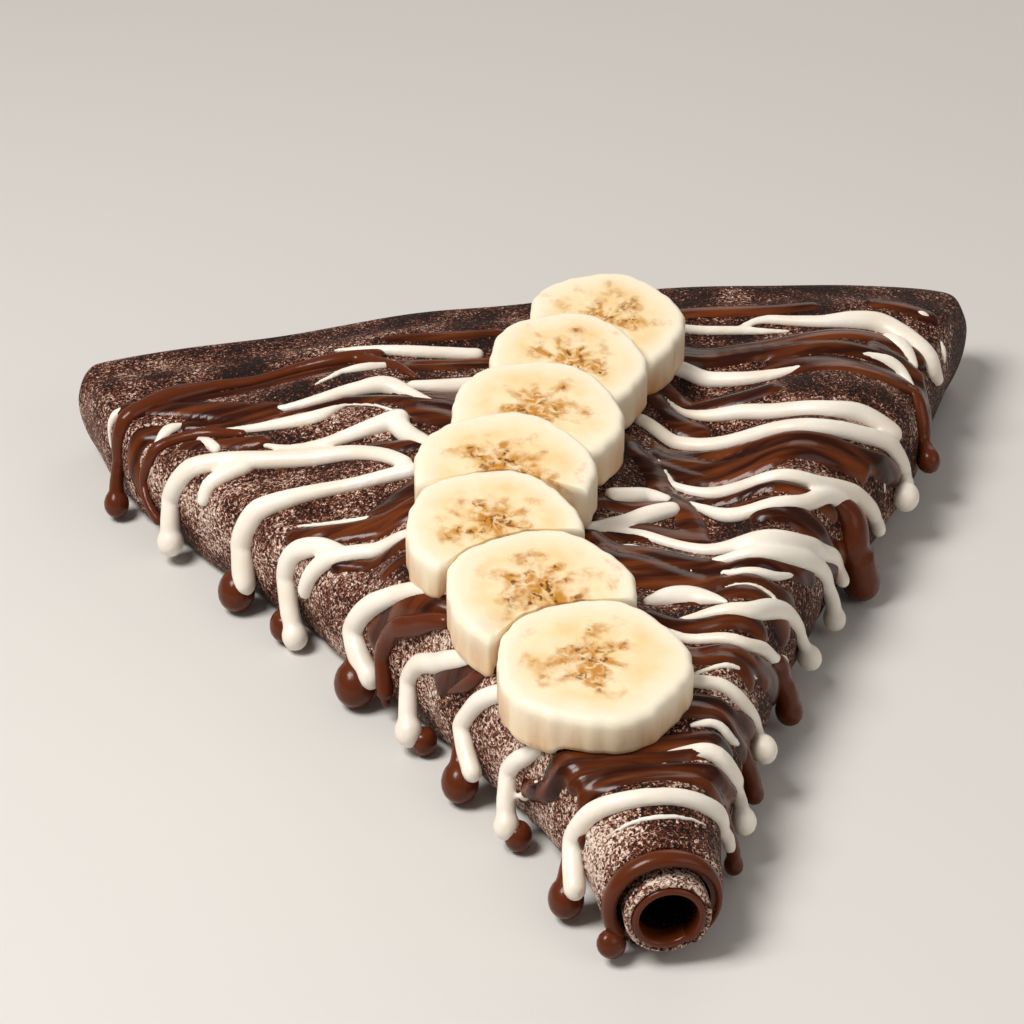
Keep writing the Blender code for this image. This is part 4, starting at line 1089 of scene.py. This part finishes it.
class CREPE_OT_filling(bpy.types.Operator):
    """The milk chocolate lining of the tip's hollow and the lip that has run over its rim"""

    bl_idname = "crepe.filling"
    bl_label = "Filling"

    def execute(self, context):
        turns = np.linspace(0.0, 360.0, LINING_POINTS + 1)[:-1]
        rows = [
            ring(LINING_RADIUS, -LINING_FRONT, BORE_HEIGHT, turns),
            ring(LINING_RADIUS, LINING_DEPTH, BORE_HEIGHT, turns),
            ring(LINING_HOLE, LINING_DEPTH, INNER_HEIGHT, turns),
            ring(LINING_HOLE, -LINING_FRONT, INNER_HEIGHT, turns),
            ring(LINING_RADIUS, -LINING_FRONT, BORE_HEIGHT, turns),
        ]
        points = [Vector(point) for point in np.concatenate(rows)]
        faces = grid_faces(len(rows), LINING_POINTS, True)
        path = []
        for share in np.linspace(0.0, 1.0, LIP_STEPS):
            turn = LIP_FROM + (LIP_TO - LIP_FROM) * share
            centre = Vector(ring(LIP_RADIUS, -LIP_FRONT, BORE_HEIGHT, np.array([turn]))[0])
            out = (centre - Vector((TIP_SHIFT, centre.y, BORE_HEIGHT))).normalized()
            swell = float(smooth(0.0, LIP_SWELLED, share))
            path.append((centre, LIP_THICKNESS * (LIP_THIN + LIP_SWELL * swell), out))
        path = round_end(path)
        low = Vector(LIP_BEAD_PLACE) - Vector((0.0, MIDDLE, 0.0))
        down = (low - path[-1][0]).normalized()
        tube(path + round_bead(low, down, LIP_BEAD, 0.0, path[-1][2]), points, faces, LIP_WIDE)
        made = mesh_piece("filling_lip", points, faces, milk_look(), "filling")
        face_outwards(made, join=True)
        made.data.set_sharp_from_angle(angle=math.radians(LIP_SHARP))
        return {"FINISHED"}


class CREPE_OT_inner_roll(bpy.types.Operator):
    """The inner roll at the tip, with its wound layers"""

    bl_idname = "crepe.inner_roll"
    bl_label = "Inner roll"

    def execute(self, context):
        shares = np.arange(INNER_POINTS) / INNER_POINTS
        turns = INNER_SEAM + 360.0 * shares
        outer = INNER_RADIUS - INNER_LAYER * shares
        hole = INNER_HOLE - INNER_LAYER * shares
        bases = {"outer": outer, "middle": (outer + hole) / 2.0, "hole": hole}
        rows = [ring(outer, INNER_DEPTH, INNER_HEIGHT, turns)]
        for base, out, behind in INNER_EDGE:
            rows.append(ring(bases[base] + out * MM, behind * MM - INNER_FRONT, INNER_HEIGHT, turns))
        rows += [ring(hole, INNER_DEPTH, INNER_HEIGHT, turns), rows[0]]
        look = bpy.data.materials.get("baked_cocoa_batter") or crumb_material(context.scene.crepe_looks)
        made = mesh_piece(
            "inner_roll_layers", np.concatenate(rows), grid_faces(len(rows), INNER_POINTS, True), look,
            "inner_roll",
        )
        # Painted shade inside the hole, and a paler outside and edge
        painted_light = [ROLL_EDGE_PALER] * (len(rows) - len(HOLE_PAINTED_SHADE)) + list(HOLE_PAINTED_SHADE)
        attribute(made, "painted_light", np.repeat(painted_light, INNER_POINTS))
        face_outwards(made, join=True)
        rim = []
        for out, behind in RIM_EDGE:
            rim.append(ring(hole + out * MM, behind * MM - INNER_FRONT, INNER_HEIGHT, turns))
        edge = mesh_piece(
            "inner_roll_rim", np.concatenate(rim), grid_faces(len(rim), INNER_POINTS, True), milk_look(),
            "inner_roll",
        )
        face_outwards(edge, join=True)
        return {"FINISHED"}


def slice_sizes():
    """Each slice's outline sizes at even turns, as in the solids."""
    rng = random.Random(SLICE_SEED)
    outlines = []
    for piece in SLICES:
        sizes = []
        for i in range(SLICE_SIDES):
            ridge = math.cos(math.tau * SLICE_RIDGES * i / SLICE_SIDES + math.radians(piece.turn))
            uneven = SLICE_UNEVEN * rng.uniform(-1.0, 1.0)
            sizes.append(piece.radius * (1.0 + SLICE_RIDGE_DEPTH * ridge + uneven))
        outlines.append(sizes)
    return outlines


def skin_height(x, station):
    """Height of the crepe's top at a place."""
    turns = np.arange(*ROW_TURNS)
    points = skin_points(station, turns)
    return float(np.interp(-x, -points[:, 0], points[:, 2]))


def slice_top(piece, station):
    """Height of a slice's cut face at a place along the crepe."""
    front = float(along(BED, piece.station - piece.radius)) + SLICE_FRONT
    return front + (station - piece.station + piece.radius) * math.tan(math.radians(piece.tilt))


def slice_outline(number, sizes):
    """Sizes of a slice at close even turns, with the peeled side's flats and fine ribs."""
    turns = np.arange(SLICE_POINTS) / SLICE_POINTS
    outline = along(evenly(sizes + sizes[:1]), turns)
    weights = np.hanning(2 * SLICE_ROUNDING + 3)[1:-1]
    shifts = range(-SLICE_ROUNDING, SLICE_ROUNDING + 1)
    rolled = (np.roll(outline, shift) * weight for shift, weight in zip(shifts, weights))
    rounded = sum(rolled) / weights.sum()
    ribbed = 1.0
    for height, count, shift in SLICE_RIBS:
        ribbed = ribbed + height * np.sin(turns * math.tau * count + shift * number)
    return rounded * ribbed


def free_reach(piece, cover, cover_sizes):
    """How far a slice reaches at its even turns before it meets the slice that lies over it."""
    angles = math.tau * np.arange(SLICE_POINTS) / SLICE_POINTS
    grown = cover_sizes + SLICE_GAP
    corner = np.stack((
        cover.side + grown * np.cos(angles) - piece.side,
        cover.station + grown * np.sin(angles) - piece.station,
    ), axis=-1)
    step = np.roll(corner, -1, axis=0) - corner
    reach = np.full(SLICE_POINTS, 1.0)
    for i, angle in enumerate(angles):
        ahead = np.array((math.cos(angle), math.sin(angle)))
        cross = step[:, 0] * ahead[1] - step[:, 1] * ahead[0]
        cross = np.where(np.abs(cross) < NO_CROSS, NO_CROSS, cross)
        share = (corner[:, 1] * ahead[0] - corner[:, 0] * ahead[1]) / cross
        far = (step[:, 0] * corner[:, 1] - step[:, 1] * corner[:, 0]) / cross
        hit = far[(share >= 0.0) & (share <= 1.0) & (far > 0.0)]
        if len(hit):
            reach[i] = hit.min()
    return reach


def soft_least(one, other):
    """The smaller of two reaches, rounded where they are alike, apart from near the middle."""
    least = min(one, other)
    if least <= CORNER_BLEND:
        return least
    alike = max(0.0, CORNER_BLEND - abs(one - other)) / CORNER_BLEND
    return least - alike * alike * CORNER_BLEND / 4.0


def slice_mesh(number, piece, outline, cover, cover_outline, look):
    """One banana slice: ribbed wall, soft upper edge and a face that dips under the slice over it."""
    count = SLICE_POINTS
    limit = free_reach(piece, cover, cover_outline) if cover else np.full(count, 1.0)
    levels = [(True, level, 1.0 if level else WALL_FOOT) for level in np.linspace(0.0, 1.0, WALL_LEVELS)]
    levels += [(False, level, share) for level, share in EDGE_ROUND]
    levels += [(False, 0.0, share) for share in FACE_SHARES]
    points, local, wall = [], [], []
    for on_wall, level, share in levels:
        for i, size in enumerate(outline):
            angle = math.tau * (i / count)
            reach = soft_least(size * share, limit[i])
            x = piece.side + reach * math.cos(angle)
            across = reach * math.sin(angle)
            station = piece.station + across
            top = slice_top(piece, station)
            if cover:
                near = math.hypot(x - cover.side, station - cover.station) - cover.radius
                over = max(0.0, top + DIP_UNDER - slice_top(cover, station))
                top -= over * (1.0 - float(smooth(0.0, DIP_WIDTH, near)))
            if on_wall:
                under = max(skin_height(x, station) + SLICE_GAP, top - SLICE_WALL)
                z = under + (top - SLICE_EDGE - under) * level
            else:
                wave = noise.noise(Vector((x, across, number * 0.1)) / FACE_WAVE_SIZE)
                z = top - level * SLICE_EDGE + FACE_WAVE * wave * (1.0 - share)
            points.append((x, station - MIDDLE, z))
            core_angle = angle + math.radians(piece.core)
            part = reach / size
            height = number + (z - top) / piece.radius
            local.append((part * math.cos(core_angle), part * math.sin(core_angle), height))
            wall.append(1.0 - WALL_FADE * level ** 2 if on_wall else 0.0)
    faces = [face[::-1] for face in grid_faces(len(levels), count, True)]
    faces.append(tuple(range(count)))
    node = f"banana_slice_{number}"
    made = mesh_piece(f"{node}_flesh", points, faces, look, node)
    attribute(made, "slice_place", local, "FLOAT_VECTOR")
    attribute(made, "wall", wall)
    face_outwards(made, join=True)


class CREPE_OT_banana(bpy.types.Operator):
    """The row of banana slices"""

    bl_idname = "crepe.banana"
    bl_label = "Banana slices"

    def execute(self, context):
        look = banana_material(context.scene.crepe_looks)
        outlines = [slice_outline(number, sizes) for number, sizes in enumerate(slice_sizes(), 1)]
        covers = SLICES[1:] + (None,)
        for number, (piece, cover) in enumerate(zip(SLICES, covers), 1):
            cover_outline = outlines[number] if cover else None
            slice_mesh(number, piece, outlines[number - 1], cover, cover_outline, look)
        return {"FINISHED"}


class CREPE_OT_stage(bpy.types.Operator):
    """The pale floor, soft studio light and camera"""

    bl_idname = "crepe.stage"
    bl_label = "Stage"

    def execute(self, context):
        scene = context.scene
        scene.view_settings.view_transform = "Standard"
        bpy.ops.mesh.primitive_plane_add(size=FLOOR_SIZE, location=(0.0, 0.0, 0.0))
        floor = context.active_object
        floor.name = "floor"
        look, tree, shader = new_material("painted_pale_board")
        grain = add(tree, "TexNoise", {"Scale": 6.0, "Detail": 2.0})
        shades = ((0.3, linear(FLOOR_DARK)), (0.7, linear(FLOOR_PALE)))
        tone = add(tree, "ValToRGB", {"Fac": grain}, stops=shades)
        connect(tree, shader, {"Base Color": tone, "Roughness": 0.7})
        floor.data.materials.append(look)
        world = bpy.data.worlds.new("studio")
        scene.world = world
        world.use_nodes = True
        background = world.node_tree.nodes["Background"]
        connect(world.node_tree, background, {"Color": linear(SKY_COLOUR), "Strength": SKY_STRENGTH})
        for name, place, size, power, tint in LIGHTS:
            light = bpy.data.lights.new(name, "AREA")
            light.size = size
            light.energy = power
            light.color = linear(tint)[:3]
            lamp = bpy.data.objects.new(name, light)
            lamp.location = place
            lamp.rotation_euler = (LIGHTS_AIM - lamp.location).to_track_quat("-Z", "Y").to_euler()
            scene.collection.objects.link(lamp)
        camera = bpy.data.cameras.new("camera")
        camera.angle = math.radians(CAMERA_VIEW)
        eye = bpy.data.objects.new("camera", camera)
        azimuth, elevation = math.radians(CAMERA_AZIMUTH), math.radians(CAMERA_ELEVATION)
        back = Vector((
            math.sin(azimuth) * math.cos(elevation),
            -math.cos(azimuth) * math.cos(elevation),
            math.sin(elevation),
        ))
        eye.location = Vector(CAMERA_TARGET) + back * CAMERA_DISTANCE
        eye.rotation_euler = (-back).to_track_quat("-Z", "Y").to_euler()
        scene.collection.objects.link(eye)
        scene.camera = eye
        return {"FINISHED"}


def colour_property(name, colour, description):
    """A colour that a user would change, from an sRGB hex value."""
    return bpy.props.FloatVectorProperty(
        name=name, description=description, default=linear(colour),
        subtype="COLOR", size=4, min=0.0, max=1.0,
    )


class CrepeLooks(bpy.types.PropertyGroup):
    """Crumb size and colours of the finishes"""

    crumb_size: bpy.props.FloatProperty(
        name="Crumb", description="Size of the crumb's flecks", default=0.5 * MM, unit="LENGTH", precision=5
    )
    # Painted shade in the crumb's pits
    crepe_pit_shade: colour_property("Crepe pits", "#100503", "Deepest part of the crumb")
    crepe: colour_property("Crepe", "#51200f", "Body of the baked batter")
    crepe_raised: colour_property("Crepe, raised", "#80452b", "Raised parts of the crumb")
    # Pale colour of the painted glints on the crumb's tips
    crepe_painted_glints: colour_property("Crepe tips", "#efdccb", "Dry tips of the crumb")
    milk_deep: colour_property("Milk chocolate, deep", "#311005", "Deeper streaks")
    milk: colour_property("Milk chocolate", "#6d3414", "Body colour")
    milk_thick: colour_property("Milk chocolate, thick", "#5c2912", "Strands and drops")
    white: colour_property("White chocolate", "#f8f0e4", "Body colour")
    white_deep: colour_property("White chocolate, deep", "#efe3d2", "Where it is thin")
    banana: colour_property("Banana", "#f7e2ba", "Flesh")
    banana_deep: colour_property("Banana, deep", "#f2d29b", "Deeper flesh")
    banana_rim: colour_property("Banana rim", "#f9edd6", "Outer ring of the cut face")
    banana_core: colour_property("Banana core", "#c98a33", "Tan rays of the core")
    banana_seed: colour_property("Banana seeds", "#7d4a14", "Seed pits")
    banana_side: colour_property("Banana side", "#f3dab6", "Peeled outside")
    banana_side_deep: colour_property("Banana side, deep", "#d2a06e", "Grooves of the peeled outside")


class CREPE_PT_panel(bpy.types.Panel):
    """Lists the pieces"""

    bl_idname = "CREPE_PT_panel"
    bl_label = "Banana crepe"
    bl_space_type = "VIEW_3D"
    bl_region_type = "UI"
    bl_category = "Crepe"

    def draw(self, context):
        for operator in OPERATORS:
            self.layout.operator(operator.bl_idname)
        for name in CrepeLooks.__annotations__:
            self.layout.prop(context.scene.crepe_looks, name)


OPERATORS = (
    CREPE_OT_skin,
    CREPE_OT_white_drizzle,
    CREPE_OT_milk_film,
    CREPE_OT_milk_drips,
    CREPE_OT_filling,
    CREPE_OT_inner_roll,
    CREPE_OT_banana,
    CREPE_OT_stage,
)
CLASSES = (CrepeLooks, *OPERATORS, CREPE_PT_panel)


def register():
    for made in CLASSES:
        bpy.utils.register_class(made)
    bpy.types.Scene.crepe_looks = bpy.props.PointerProperty(type=CrepeLooks)


def unregister():
    del bpy.types.Scene.crepe_looks
    for made in reversed(CLASSES):
        bpy.utils.unregister_class(made)


def main():
    register()
    for operator in OPERATORS:
        group, name = operator.bl_idname.split(".")
        getattr(getattr(bpy.ops, group), name)()


if __name__ == "__main__":
    main()
